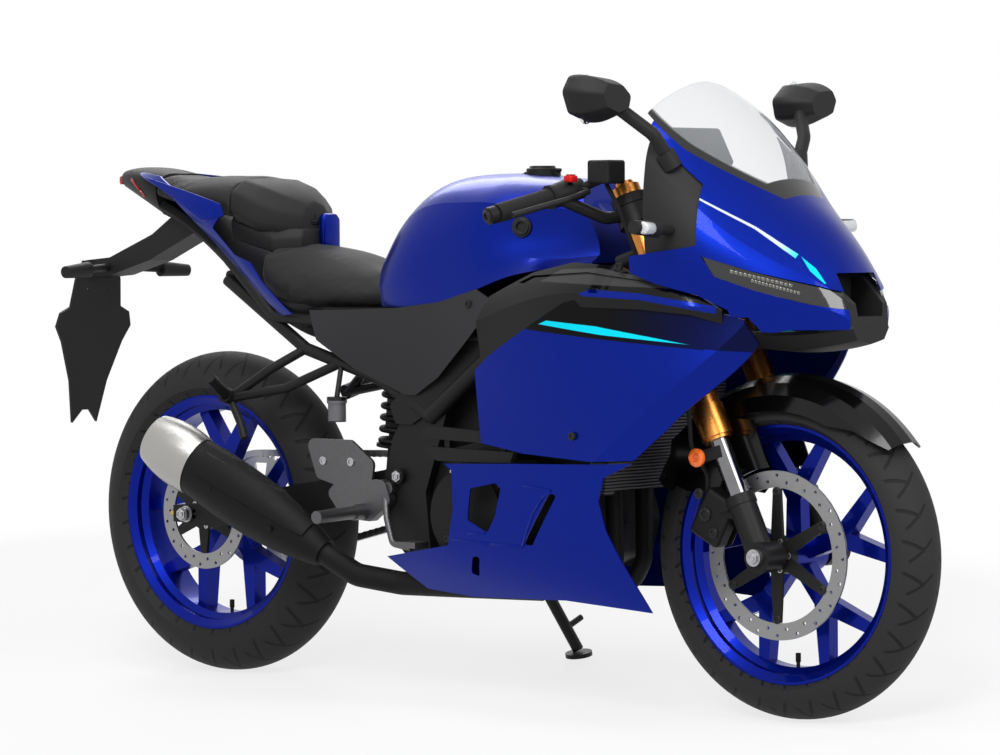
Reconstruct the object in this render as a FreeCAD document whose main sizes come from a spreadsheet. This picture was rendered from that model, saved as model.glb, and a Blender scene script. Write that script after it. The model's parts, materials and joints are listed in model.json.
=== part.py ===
import FreeCAD, Part

# Sport bike, built in a bike frame and then leaned onto its side stand.
# Bike frame: X forward, Y to the rider's left, Z up, rear axle above x = 0, ground at z = 0, millimetres.
import math
import os
from types import SimpleNamespace

from FreeCAD import Placement, Rotation, Vector

doc = FreeCAD.newDocument("SportBike")
sheet = doc.addObject("Spreadsheet::Sheet", "Sizes")

# Driving sizes: alias, value, what it is. Lengths in millimetres, angles in degrees.
SIZES = [
    ("wheelbase", 1380, "between the axle centres"),
    ("rake", 25, "steering axis behind the vertical"),
    ("trail", 95, "ground contact behind the steering axis"),
    ("lean", 10, "lean onto the side stand"),
    ("origin_ahead", 630, "row origin ahead of the rear axle"),
    ("origin_left", 156, "row origin left of the wheels' line"),
    ("front_radius", 293, "front tyre outside radius"),
    ("front_width", 110, "front tyre width"),
    ("front_rim_width", 86, "front rim over its flanges"),
    ("rear_radius", 314, "rear tyre outside radius"),
    ("rear_width", 140, "rear tyre width"),
    ("rear_rim_width", 116, "rear rim over its flanges"),
    ("rim_radius", 229, "rim flange radius"),
    ("hub_radius", 34, "hub shell radius"),
    ("spoke_count", 5, "Y shaped spokes in a wheel"),
    ("fork_offset", 30, "fork legs ahead of the steering axis"),
    ("fork_half_span", 95, "fork leg from the centre plane"),
    ("fork_tube_radius", 26, "gold outer tube radius"),
    ("slider_radius", 18.5, "chrome inner tube radius"),
    ("front_disc_radius", 149, "front brake disc radius"),
    ("rear_disc_radius", 110, "rear brake disc radius"),
    ("disc_thickness", 4.5, "brake disc thickness"),
    ("pivot_ahead", 568, "swingarm pivot ahead of the rear axle"),
    ("pivot_height", 408, "swingarm pivot above the ground"),
    ("chain_pitch_radius", 108.7, "rear sprocket pitch radius"),
    ("chain_line", 87, "chain centre from the centre plane"),
    ("panel_wall", 3, "fairing panel thickness"),
    ("seat_gap", 0.3, "clearance between pieces that rest on each other"),
    ("joint_gap", 5, "clearance beside moving pieces"),
]


def fill_sheet():
    for row, (alias, value, note) in enumerate(SIZES, start=1):
        sheet.set(f"A{row}", note)
        sheet.set(f"B{row}", str(value))
        sheet.setAlias(f"B{row}", alias)
    doc.recompute()
    return SimpleNamespace(**{alias: float(sheet.get(alias)) for alias, _, _ in SIZES})


S = fill_sheet()
UP = Vector(0, 0, 1)
LEFT = Vector(0, 1, 0)
CENTRE = Vector(0, 0, 0)
RAKE = math.radians(S.rake)
LEAN = math.radians(S.lean)
REAR_AXLE = Vector(0, 0, S.rear_radius)
FRONT_AXLE = Vector(S.wheelbase, 0, S.front_radius)

# The leaned bike stands on its rear tyre's crown, whose radius lifts it a little.
PARK = Placement(
    Vector(-S.origin_ahead, -S.origin_left, S.rear_width / 2 * (1 - math.cos(LEAN))),
    Rotation(Vector(1, 0, 0), -S.lean),
)

# Steering frame: s along the axis from the ground, ahead of it at right angles, y to the left.
AXIS_FOOT = Vector(S.wheelbase + S.trail, 0, 0)
AXIS_UP = Vector(-math.sin(RAKE), 0, math.cos(RAKE))
AXIS_AHEAD = Vector(math.cos(RAKE), 0, math.sin(RAKE))


def steer(s, ahead=0, y=0):
    return AXIS_FOOT + AXIS_UP * s + AXIS_AHEAD * ahead + Vector(0, y, 0)


AXLE_S = (FRONT_AXLE - AXIS_FOOT).dot(AXIS_UP)
AXLE_AHEAD = (FRONT_AXLE - AXIS_FOOT).dot(AXIS_AHEAD)

nodes = []
made = {}


def keep(label, shape):
    """Stores a finished shape as one named sub-part."""
    made[label] = shape
    feature = doc.addObject("Part::Feature", label)
    feature.Label = label
    feature.Shape = shape
    feature.Placement = PARK.multiply(shape.Placement)
    nodes.append(feature)
    return feature


# Shape helpers


def fuse(shapes):
    whole = shapes[0].multiFuse(shapes[1:]) if len(shapes) > 1 else shapes[0]
    return whole.removeSplitter()


def largest(shape):
    return max(shape.Solids, key=lambda solid: solid.Volume)


def mirrored(shape):
    return shape.mirror(CENTRE, LEFT)


def both(shape):
    """The right-hand piece and its mirror image, as two solids of one node."""
    return Part.makeCompound([shape, mirrored(shape)])


def rod(a, b, radius, end_radius=None):
    """A round bar or cone from point a to point b."""
    a, b = Vector(a), Vector(b)
    if end_radius is None or abs(end_radius - radius) < 1e-6:
        return Part.makeCylinder(radius, (b - a).Length, a, b - a)
    return Part.makeCone(radius, end_radius, (b - a).Length, a, b - a)


def tube(points, radius, bend=3):
    """A bent tube: straight runs joined by arcs of up to `bend` tube radii."""
    points = [Vector(p) for p in points]
    edges = []
    start = points[0]
    for before, here, after in zip(points, points[1:], points[2:]):
        a, b = before - here, after - here
        half = a.getAngle(b) / 2
        reach = min(bend * radius / math.tan(half), 0.45 * a.Length, 0.45 * b.Length)
        a.normalize()
        b.normalize()
        middle = here + (a + b).normalize() * (reach / math.cos(half) - reach * math.tan(half))
        edges.append(Part.LineSegment(start, here + a * reach).toShape())
        edges.append(Part.Arc(here + a * reach, middle, here + b * reach).toShape())
        start = here + b * reach
    edges.append(Part.LineSegment(start, points[-1]).toShape())
    ring = Part.Wire(Part.makeCircle(radius, points[0], points[1] - points[0]))
    return Part.Wire(edges).makePipeShell([ring], True, False)


def stay(a, b, radius, *targets):
    """A round stay from a towards b that stops where it meets the first of its targets."""
    bar = rod(a, b, radius)
    for target in targets:
        bar = bar.cut(target)
    near = Vector(a) + (Vector(b) - Vector(a)).normalize() * 1.0
    return min(bar.Solids, key=lambda solid: (solid.CenterOfMass - near).Length)


def block(x0, x1, y0, y1, z0, z1):
    """A box between two corners, whose Y ends may come in either order."""
    y0, y1 = sorted((y0, y1))
    return Part.makeBox(x1 - x0, y1 - y0, z1 - z0, Vector(x0, y0, z0))


def rounded_wire(points, radius):
    """A closed outline through the points, with each corner rounded as far as its sides allow."""
    count = len(points)
    ends = []
    for i in range(count):
        before, here, after = points[i - 1], points[i], points[(i + 1) % count]
        a, b = (before - here), (after - here)
        half = a.getAngle(b) / 2
        reach = min(radius / math.tan(half), 0.45 * a.Length, 0.45 * b.Length)
        a.normalize()
        b.normalize()
        middle = here + (a + b).normalize() * (reach / math.cos(half) - reach * math.tan(half))
        ends.append((here + a * reach, middle, here + b * reach))
    edges = []
    for i in range(count):
        start, middle, end = ends[i]
        edges.append(Part.Arc(start, middle, end).toShape())
        edges.append(Part.LineSegment(end, ends[(i + 1) % count][0]).toShape())
    return Part.Wire(edges)


def side_plate(outline, y0, y1, radius=0):
    """A plate with a side-view outline of (x, z) points, from y0 to y1."""
    points = [Vector(x, y0, z) for x, z in outline]
    if radius:
        wire = rounded_wire(points, radius)
    else:
        wire = Part.makePolygon(points + points[:1])
    return Part.Face(wire).extrude(Vector(0, y1 - y0, 0))


def run_edges(points):
    """Edges through a line of points: a smooth curve between creases, which are points with a fourth value."""
    runs = [[points[0]]]
    for point in points[1:-1]:
        runs[-1].append(point)
        if len(point) == 4:
            runs.append([point])
    runs[-1].append(points[-1])
    edges = []
    for run in runs:
        ends = [Vector(*point[:3]) for point in run]
        if len(ends) == 2:
            edges.append(Part.LineSegment(*ends).toShape())
        else:
            curve = Part.BSplineCurve()
            curve.interpolate(ends)
            edges.append(curve.toShape())
    return edges


def closed_section(x, half):
    """A closed section across the bike at x, from its right half as (out, z) points, top to bottom."""
    right = [(x, -point[0], *point[1:]) for point in half]
    left = [(x, point[0], *point[1:]) for point in reversed(half)]
    if half[0][0] == 0:
        line = left[:-1] + right
    else:
        line = left + right
    edges = run_edges(line)
    if half[-1][0] > 0:
        edges.append(Part.LineSegment(Vector(*right[-1][:3]), Vector(*left[0][:3])).toShape())
    return Part.Wire(edges)


def hull_loft(stations):
    """A solid through closed sections, symmetric about the centre plane."""
    return Part.makeLoft([closed_section(x, half) for x, half in stations], True, False)


def band(x, line, wall):
    """A thin closed section at x: an outer (out, z) line, its creases marked, and its copy set in by the wall."""
    count = len(line)
    inner = []
    for i in range(count):
        before = line[max(i - 1, 0)]
        after = line[min(i + 1, count - 1)]
        here = line[i]
        normals = []
        for a, b in ((before, here), (here, after)):
            length = math.hypot(b[0] - a[0], b[1] - a[1])
            if length > 1e-9:
                normals.append(((b[1] - a[1]) / length, -(b[0] - a[0]) / length))
        ny = sum(n[0] for n in normals) / len(normals)
        nz = sum(n[1] for n in normals) / len(normals)
        size = ny * ny + nz * nz
        inner.append((here[0] + wall * ny / size, here[1] + wall * nz / size, *here[2:]))
    outer_line = [(x, -point[0], *point[1:]) for point in line]
    inner_line = [(x, -point[0], *point[1:]) for point in reversed(inner)]
    return shut(outer_line, inner_line)


def shut(first, second):
    """A closed wire from two lines of points, joined at their ends."""
    edges = run_edges(first)
    edges.append(Part.LineSegment(Vector(*first[-1][:3]), Vector(*second[0][:3])).toShape())
    edges += run_edges(second)
    edges.append(Part.LineSegment(Vector(*second[-1][:3]), Vector(*first[0][:3])).toShape())
    return Part.Wire(edges)


def rail_skin(levels, wall):
    """A right-hand panel from lines of (x, y, z) points, one line a level, its wall set in towards the centre."""
    wires = []
    for line in levels:
        inner = [(point[0], point[1] + wall, *point[2:]) for point in reversed(line)]
        wires.append(shut(line, inner))
    return Part.makeLoft(wires, True, False)


def skin(stations, wall):
    """A right-hand panel: outer lines of (out, z) points, top to bottom, at stations of x."""
    return Part.makeLoft([band(x, line, wall) for x, line in stations], True, False)


def arch(x, half, wall):
    """A thin closed section across the whole bike, from its right half, top centre to lower edge."""
    line = [(-point[0], *point[1:]) for point in reversed(half[1:])] + list(half)
    return band(x, line, wall)


def arch_skin(stations, wall):
    return Part.makeLoft([arch(x, half, wall) for x, half in stations], True, False)


def turned(profile, centre, start=0, sweep=360):
    """A ring about the wheel axis through centre: profile points are (radius, y)."""
    points = [centre + Vector(r, y, 0) for r, y in profile]
    face = Part.Face(Part.makePolygon(points + points[:1]))
    face.rotate(centre, LEFT, -start)
    return face.revolve(centre, LEFT, -sweep)


# PartDesign helpers


def new_body(label, at=CENTRE):
    body = doc.addObject("PartDesign::Body", label)
    body.Label = label
    body.Placement = PARK.multiply(Placement(Vector(at), Rotation()))
    nodes.append(body)
    return body


def sketch_on(body, name, role, lift=0):
    """A sketch on an origin plane. On XZ a positive lift goes to the rider's right."""
    sketch = body.newObject("Sketcher::SketchObject", name)
    plane = next(feature for feature in body.Origin.OriginFeatures if feature.Role == role)
    sketch.AttachmentSupport = [(plane, "")]
    sketch.MapMode = "FlatFace"
    sketch.AttachmentOffset = Placement(Vector(0, 0, lift), Rotation())
    return sketch


def draw_loop(sketch, points):
    ends = [Vector(*p, 0) for p in points]
    for a, b in zip(ends, ends[1:] + ends[:1]):
        sketch.addGeometry(Part.LineSegment(a, b), False)


def draw_circle(sketch, radius, centre=(0, 0)):
    circle = Part.Circle(Vector(*centre, 0), UP, radius)
    return sketch.addGeometry(circle, False)


def revolve(body, name, points, arcs=()):
    """A solid turned about the body's own Y axis from (radius, y) points; arcs hold three points each."""
    sketch = sketch_on(body, name + "_profile", "XY_Plane")
    ends = [Vector(*p, 0) for p in points]
    bows = {(a, c): b for a, b, c in arcs}
    for a, b in zip(points, points[1:] + points[:1]):
        if (a, b) in bows:
            bow = Part.Arc(Vector(*a, 0), Vector(*bows[(a, b)], 0), Vector(*b, 0))
            sketch.addGeometry(bow, False)
        else:
            sketch.addGeometry(Part.LineSegment(ends[points.index(a)], ends[points.index(b)]), False)
    feature = body.newObject("PartDesign::Revolution", name)
    feature.Profile = sketch
    feature.ReferenceAxis = (sketch, ["V_Axis"])
    feature.Angle = 360
    return feature


def pad(body, name, loops, width, lift=0, circles=()):
    """A plate standing across the bike, from (x, z) loops, centred on its lift."""
    sketch = sketch_on(body, name + "_outline", "XZ_Plane", lift)
    for loop in loops:
        draw_loop(sketch, loop)
    for radius, centre in circles:
        draw_circle(sketch, radius, centre)
    feature = body.newObject("PartDesign::Pad", name)
    feature.Profile = sketch
    feature.SideType = "Symmetric"
    if isinstance(width, str):
        feature.setExpression("Length", width)
    else:
        feature.Length = width
    return feature


def pocket(body, name, loops=(), circles=(), lift=0, width=400):
    sketch = sketch_on(body, name + "_outline", "XZ_Plane", lift)
    for loop in loops:
        draw_loop(sketch, loop)
    for radius, centre in circles:
        draw_circle(sketch, radius, centre)
    feature = body.newObject("PartDesign::Pocket", name)
    feature.Profile = sketch
    feature.SideType = "Symmetric"
    feature.Length = width
    return feature


def polar(body, name, originals, count):
    """Repeats features about the body's own Y axis."""
    axis = next(feature for feature in body.Origin.OriginFeatures if feature.Role == "Y_Axis")
    pattern = body.newObject("PartDesign::PolarPattern", name)
    pattern.Originals = originals
    pattern.Axis = (axis, [""])
    pattern.Angle = 360
    pattern.Occurrences = int(count)
    body.Tip = pattern
    return pattern


def bar_stack(label, at, bars):
    """Round bars on one axis across the bike, fused: name, then radius, start and length as numbers or text."""
    parts = []
    for name, *sizes in bars:
        bar = doc.addObject("Part::Cylinder", f"{label}_{name}")
        bar.Placement = Placement(CENTRE, Rotation(Vector(1, 0, 0), -90))
        for field, size in zip(("Radius", "Placement.Base.y", "Height"), sizes):
            bar.setExpression(field, str(size))
        parts.append(bar)
    whole = doc.addObject("Part::MultiFuse", label)
    whole.Label = label
    whole.Shapes = parts
    whole.Placement = PARK.multiply(Placement(at, Rotation()))
    nodes.append(whole)


# Wheels


def tyre(label, centre, radius, width, rim_width):
    body = new_body(label, centre)
    half = width / 2
    crown = radius - half
    seat = S.rim_radius - 11 + S.seat_gap
    lip = S.rim_radius + S.seat_gap + 0.5
    bead = rim_width / 2 - 5 - S.seat_gap
    wall = 11
    profile = [
        (seat, -bead), (lip, -bead), (lip, -rim_width / 2), (crown, -half), (crown, half),
        (lip, rim_width / 2), (lip, bead), (seat, bead), (seat, bead - 16),
        (crown, half - wall), (crown, wall - half), (seat, 16 - bead),
    ]
    outer = ((crown, -half), (radius, 0), (crown, half))
    inner = ((crown, half - wall), (radius - wall, 0), (crown, wall - half))
    revolve(body, "Carcass", profile, [outer, inner])
    return body


def rim(label, centre, rim_width, hub_half, spoke_half):
    body = new_body(label, centre)
    half = rim_width / 2
    flange = S.rim_radius
    barrel = [
        (flange, -half), (flange, 5 - half), (flange - 11, 5 - half), (flange - 11, 22 - half),
        (flange - 24, 30 - half), (flange - 24, half - 30), (flange - 11, half - 22),
        (flange - 11, half - 5), (flange, half - 5), (flange, half), (flange - 5, half),
        (flange - 17, half - 8), (flange - 17, half - 20), (flange - 29, half - 29),
        (flange - 29, 29 - half), (flange - 17, 20 - half), (flange - 17, 8 - half), (flange - 5, -half),
    ]
    revolve(body, "Barrel", barrel)
    pad(body, "Hub", [], 2 * hub_half, circles=[(S.hub_radius, (0, 0))])
    spokes = pad(body, "Spoke", [spoke_outline()], 2 * spoke_half)
    polar(body, "Spokes", [spokes], S.spoke_count)
    pocket(body, "Bore", circles=[(AXLE_RADIUS + RUNNING_FIT, (0, 0))])
    return body


def spoke_outline():
    """A Y of two arms on one stem, standing on the hub and reaching into the barrel."""
    root = S.hub_radius - 4
    fork = 0.42 * S.rim_radius
    tip = S.rim_radius - 26
    spread = math.radians(17)
    half_tip = math.radians(3.2)
    stem = 17
    crotch = (0, fork + 34)

    def at(radius, angle):
        return (radius * math.sin(angle), radius * math.cos(angle))

    return [
        (stem, root), (stem - 2, fork), at(tip, spread + half_tip), at(tip, spread - half_tip), crotch,
        at(tip, half_tip - spread), at(tip, -spread - half_tip), (2 - stem, fork), (-stem, root),
    ]


AXLE_RADIUS = 8.5
RUNNING_FIT = 0.05


def brake_disc(label, centre, radius, band_width, y, hole_rings):
    """A drilled disc: its band, and scallops that leave arms to the carrier."""
    body = new_body(label, centre)
    pad(body, "Band", [], "Sizes.disc_thickness", lift=-y, circles=[(radius, (0, 0)), (radius - band_width, (0, 0))])
    for ring, (ring_radius, hole, count, turn) in enumerate(hole_rings):
        angle = math.radians(turn)
        place = (ring_radius * math.cos(angle), ring_radius * math.sin(angle))
        hole_cut = pocket(body, f"Hole{ring}", circles=[(hole, place)])
        polar(body, f"Holes{ring}", [hole_cut], count)
    return body


def wheels():
    tyre("front_tyre", FRONT_AXLE, S.front_radius, S.front_width, S.front_rim_width)
    tyre("rear_tyre", REAR_AXLE, S.rear_radius, S.rear_width, S.rear_rim_width)
    rim("front_rim", FRONT_AXLE, S.front_rim_width, 46, 13)
    rim("rear_rim", REAR_AXLE, S.rear_rim_width, 62, 16)
    rings = [(S.front_disc_radius - 8, 3.2, 20, 0), (S.front_disc_radius - 19, 3.2, 20, 9)]
    brake_disc("front_disc", FRONT_AXLE, S.front_disc_radius, 30, -FRONT_DISC_OUT, rings)
    rings = [(S.rear_disc_radius - 8, 3.2, 15, 0), (S.rear_disc_radius - 19, 3.2, 15, 12)]
    brake_disc("rear_disc", REAR_AXLE, S.rear_disc_radius, 30, -REAR_DISC_OUT, rings)
    carrier("front_disc_carrier", FRONT_AXLE, S.front_disc_radius - 30, FRONT_DISC_OUT, 46)
    carrier("rear_disc_carrier", REAR_AXLE, S.rear_disc_radius - 30, REAR_DISC_OUT, 62)
    sprocket()


FRONT_DISC_OUT = 60
REAR_DISC_OUT = 76


def carrier(label, centre, reach, out, hub_half):
    """The arms that carry a disc, on a boss that stands on the hub's right end."""
    body = new_body(label, centre)
    boss = out + 3 - hub_half - S.seat_gap
    lift = hub_half + S.seat_gap + boss / 2
    pad(body, "Boss", [], boss, lift=lift, circles=[(S.hub_radius, (0, 0)), (AXLE_RADIUS + RUNNING_FIT, (0, 0))])
    arm = [(-13, S.hub_radius - 3), (13, S.hub_radius - 3), (8, reach - 1), (-8, reach - 1)]
    arms = pad(body, "Arm", [arm], 6, lift=out)
    polar(body, "Arms", [arms], 6)
    return body


def sprocket():
    body = new_body("rear_sprocket", REAR_AXLE)
    root = S.chain_pitch_radius - 6
    boss = S.chain_line - 62 - S.seat_gap + 3
    lift = -(62 + S.seat_gap + boss / 2)
    pad(body, "Cush", [], boss, lift=lift, circles=[(S.hub_radius + 22, (0, 0)), (AXLE_RADIUS + RUNNING_FIT, (0, 0))])
    pad(body, "Plate", [], 6, lift=-S.chain_line, circles=[(root, (0, 0)), (S.hub_radius, (0, 0))])
    tooth = [(-5.2, root - 2), (5.2, root - 2), (1.8, root + 7), (-1.8, root + 7)]
    teeth = pad(body, "Tooth", [tooth], 6, lift=-S.chain_line)
    polar(body, "Teeth", [teeth], 43)
    window = [(-13, 66), (13, 66), (17, 90), (-17, 90)]
    windows = pocket(body, "Window", [window], lift=-S.chain_line, width=20)
    polar(body, "Windows", [windows], 6)
    return body


# Rear end and engine

STEM_RADIUS = 15
STAND_PIVOT = Vector(596, 160, 285)
STAND_FOOT = Vector(668, 262, 262 * math.tan(LEAN))
STAND_AXIS = (STAND_FOOT - STAND_PIVOT).cross(Vector(-1, 0.12, 0.1)).normalize()
STAND_PIN_RADIUS = 7
PIVOT = Vector(S.pivot_ahead, 0, S.pivot_height)
SPROCKET = Vector(650, 0, 405)
SPROCKET_RADIUS = 35.7
ARM_OUT = 112
PLATE_OUT = 128


def front_to_rear(a, b, width, y0, y1):
    """A bar of square section in the plane of the bike, from a to b."""
    along = Vector(b) - Vector(a)
    along.normalize()
    side = Vector(-along.z, 0, along.x) * (width / 2)
    points = [Vector(a) + side, Vector(b) + side, Vector(b) - side, Vector(a) - side]
    return side_plate([(p.x, p.z) for p in points], y0, y1)


def swingarm():
    inner, outer = ARM_OUT - 12, ARM_OUT + 12
    rear = [(-38, 330), (-38, 298), (70, 292), (300, 322), (430, 352), (430, 402), (300, 384), (70, 340)]
    front = [(428, 352), (560, 386), (590, 386), (590, 426), (560, 426), (428, 402)]
    arms = []
    for side in (-1, 1):
        slab = side_plate(rear, side * inner, side * outer)
        fore = side_plate(front, side * 72, side * (ARM_OUT + 4))
        slot = block(-26, 22, side * (inner - 2), side * (outer + 2),
                     S.rear_radius - AXLE_RADIUS - S.seat_gap, S.rear_radius + AXLE_RADIUS + S.seat_gap)
        arms.append(fuse([slab, fore]).cut(slot))
    bridge = block(372, 428, -ARM_OUT, ARM_OUT, 350, 398)
    pivot_tube = rod(PIVOT - LEFT * 116, PIVOT + LEFT * 116, 22)
    bore = rod(PIVOT - LEFT * 140, PIVOT + LEFT * 140, 9.3)
    whole = fuse(arms + [bridge, pivot_tube]).cut(bore)
    for side in (-1, 1):
        mouth = Vector(76, side * outer, 316)
        whole = whole.cut(rod(mouth - LEFT * side * 16, mouth + LEFT * side, 3.4))
    keep("swingarm", whole)


def rear_axle():
    reach = f"({ARM_OUT + 12} + Sizes.seat_gap)"
    bar_stack("rear_axle", REAR_AXLE, [
        ("shaft", AXLE_RADIUS, f"-{reach} - 16", f"2 * {reach} + 32"),
        ("right_washer", 16, f"-{reach} - 4", 4),
        ("right_nut", 13, f"-{reach} - 15", 11),
        ("left_washer", 16, reach, 4),
        ("left_nut", 13, f"{reach} + 4", 11),
    ])


def pivot_bolt():
    out = PLATE_OUT + 12
    bar_stack("pivot_bolt", PIVOT, [
        ("shaft", 9, -out, 2 * out),
        ("right_head", 14, -out - 8, 8),
        ("left_head", 14, out, 8),
    ])


def chain():
    """The closed loop of the chain about both sprockets, as one band that the teeth stay inside."""
    big, small = S.chain_pitch_radius, SPROCKET_RADIUS
    along = SPROCKET - REAR_AXLE
    gap = math.hypot(along.x, along.z)
    tilt = math.atan2(along.z, along.x)
    lap = math.asin((big - small) / gap)
    y = S.chain_line

    def loop(offset):
        up, down = tilt + math.pi / 2 - lap, tilt - math.pi / 2 + lap

        def at(centre, radius, angle):
            return Vector(centre.x + radius * math.cos(angle), y - 7, centre.z + radius * math.sin(angle))

        r1, r2 = big + offset, small + offset
        edges = [
            Part.Arc(at(REAR_AXLE, r1, up), at(REAR_AXLE, r1, tilt + math.pi), at(REAR_AXLE, r1, down)).toShape(),
            Part.LineSegment(at(REAR_AXLE, r1, down), at(SPROCKET, r2, down)).toShape(),
            Part.Arc(at(SPROCKET, r2, down), at(SPROCKET, r2, tilt), at(SPROCKET, r2, up)).toShape(),
            Part.LineSegment(at(SPROCKET, r2, up), at(REAR_AXLE, r1, up)).toShape(),
        ]
        return Part.Wire(edges)

    ring = Part.Face(loop(7.5)).cut(Part.Face(loop(-5.5))).extrude(LEFT * 14)
    groove = Part.Face(loop(5.2)).cut(Part.Face(loop(-5.6))).extrude(LEFT * 6.9)
    groove.translate(LEFT * 3.55)
    keep("chain", ring.cut(groove))


def rear_shock():
    top, foot = Vector(455, 0, 640), Vector(430, 0, 404)
    along = top - foot
    along.normalize()
    body = [rod(foot, foot + along * 90, 16), rod(foot + along * 80, top - along * 10, 24)]
    coils = []
    for turn in range(7):
        ring = Part.makeTorus(29.5, 6, foot + along * (60 + 22 * turn), along)
        coils.append(ring)
    plates = [rod(foot + along * 48, foot + along * 54, 38), rod(top - along * 44, top - along * 30, 38)]
    eye = rod(top - LEFT * 25, top + LEFT * 25, 14)
    keep("rear_shock", fuse(body + coils + plates + [eye]))


def frame():
    pieces = []
    head_top, head_foot = steer(978), steer(842)
    pieces.append(rod(head_foot, head_top, 33))
    for side in (-1, 1):
        def at(x, y, z):
            return Vector(x, side * y, z)
        main = tube([at(1092, 16, 830), at(1010, 56, 796), at(930, 118, 745), at(820, 150, 650), at(640, 134, 520)],
                    17)
        lower = tube([at(1110, 18, 790), at(1000, 134, 690), at(880, 152, 560), at(800, 152, 500)], 12)
        brace = tube([at(820, 150, 650), at(880, 152, 560)], 11)
        back = tube([at(640, 134, 520), at(500, 126, 590), at(300, 104, 640), at(80, 88, 770)], 12)
        seat_rail = tube([at(830, 144, 668), at(520, 122, 684), at(400, 112, 690), at(215, 102, 700),
                          at(60, 88, 830)], 11)
        strut = tube([at(500, 126, 590), at(520, 122, 684)], 9)
        pieces += [main, lower, brace, back, seat_rail, strut]
        plate = [(690, 560), (600, 560), (548, 480), (524, 400), (540, 300), (590, 250), (640, 262), (628, 380),
                 (660, 470)]
        inner, outer = sorted((side * (PLATE_OUT - 8), side * (PLATE_OUT + 8)))
        pieces.append(side_plate(plate, inner, outer, 14))
        beam = [(545, 540), (600, 588), (690, 650), (800, 735), (925, 786), (956, 770), (860, 690), (758, 600),
                (685, 553), (599, 505), (560, 505)]
        inner, outer = sorted((side * 118, side * 142))
        pieces.append(side_plate(beam, inner, outer, 8))
    pieces.append(rod(Vector(590, -PLATE_OUT, 275), Vector(590, PLATE_OUT, 275), 12))
    pin_root = STAND_PIVOT - STAND_AXIS * 30
    pieces.append(rod(pin_root, STAND_PIVOT + STAND_AXIS * 10, STAND_PIN_RADIUS))
    pieces.append(rod(pin_root, STAND_PIVOT - STAND_AXIS * 9.3, 13))
    pieces.append(rod(Vector(500, -128, 640), Vector(500, 128, 640), 12))
    for side in (-1, 1):
        pieces.append(block(440, 506, side * 25.3, side * 31, 622, 660))
    pieces.append(rod(Vector(84, -88, 778), Vector(84, 88, 778), 10))
    bore = rod(steer(830), steer(990), STEM_RADIUS + RUNNING_FIT)
    pivot_hole = rod(PIVOT - LEFT * 200, PIVOT + LEFT * 200, 9.3)
    keep("frame", fuse(pieces).cut(bore).cut(pivot_hole))


def engine():
    case = side_plate([(556, 310), (600, 262), (700, 236), (880, 236), (945, 264), (965, 330), (950, 410),
                       (890, 460), (760, 480), (620, 450), (560, 400)], -115, 115, 26)
    case = case.cut(rod(PIVOT - LEFT * 130, PIVOT + LEFT * 130, 34))
    clutch = rod(Vector(760, -115, 345), Vector(760, -178, 345), 92, 84)
    case_right = side_plate([(704, 252), (760, 240), (880, 242), (940, 300), (930, 400), (860, 440), (704, 440)],
                            -160, -110, 30)
    stator = rod(Vector(850, 115, 335), Vector(850, 172, 335), 80, 72)
    case_left = side_plate([(740, 240), (930, 240), (955, 330), (930, 420), (740, 430)], 110, 150, 26)
    barrel = side_plate([(772, 465), (930, 425), (975, 560), (815, 605)], -112, 112, 12)
    fins = []
    for step in range(5):
        x0, z0 = 770 + 9 * step, 490 + 24 * step
        fins.append(side_plate([(x0, z0), (x0 + 170, z0 - 45), (x0 + 172, z0 - 39), (x0 + 2, z0 + 6)], -120, 120))
    head = side_plate([(812, 592), (982, 548), (1006, 630), (996, 680), (870, 716), (825, 690)], -122, 122, 18)
    sump = side_plate([(690, 250), (860, 250), (840, 206), (712, 206)], -60, 70, 14)
    teeth = rod(SPROCKET + LEFT * (S.chain_line - 3), SPROCKET + LEFT * (S.chain_line + 3), SPROCKET_RADIUS - 5.9)
    shaft = rod(SPROCKET + LEFT * 60, SPROCKET + LEFT * (S.chain_line + 8), 12)
    sprocket_bay = block(530, 700, 76, 122, 290, 470)
    body = fuse([case, clutch, case_right, stator, case_left, barrel, head, sump] + fins)
    body = fuse([body.cut(sprocket_bay).cut(made["frame"]), teeth, shaft])
    keep("engine", body)


MUFFLER_FRONT, MUFFLER_REAR = Vector(398, -162, 258), Vector(20, -228, 466)


def exhaust():
    headers = []
    for side in (-1, 1):
        points = [(1000, side * 45, 622), (1022, side * 45, 604), (1022, side * 45, 520), (1000, side * 44, 400),
                  (1002, side * 42, 262), (972, side * 42, 213), (860, side * 18 - 102, 211)]
        headers.append(tube(points, 16))
    along = (MUFFLER_REAR - MUFFLER_FRONT).normalize()
    collector = tube([(878, -100, 211), (700, -120, 209), (560, -126, 207), MUFFLER_FRONT - along * 80,
                      MUFFLER_FRONT - along * S.seat_gap], 22)
    keep("exhaust_pipe", fuse(headers + [collector]).cut(made["engine"]))


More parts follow.
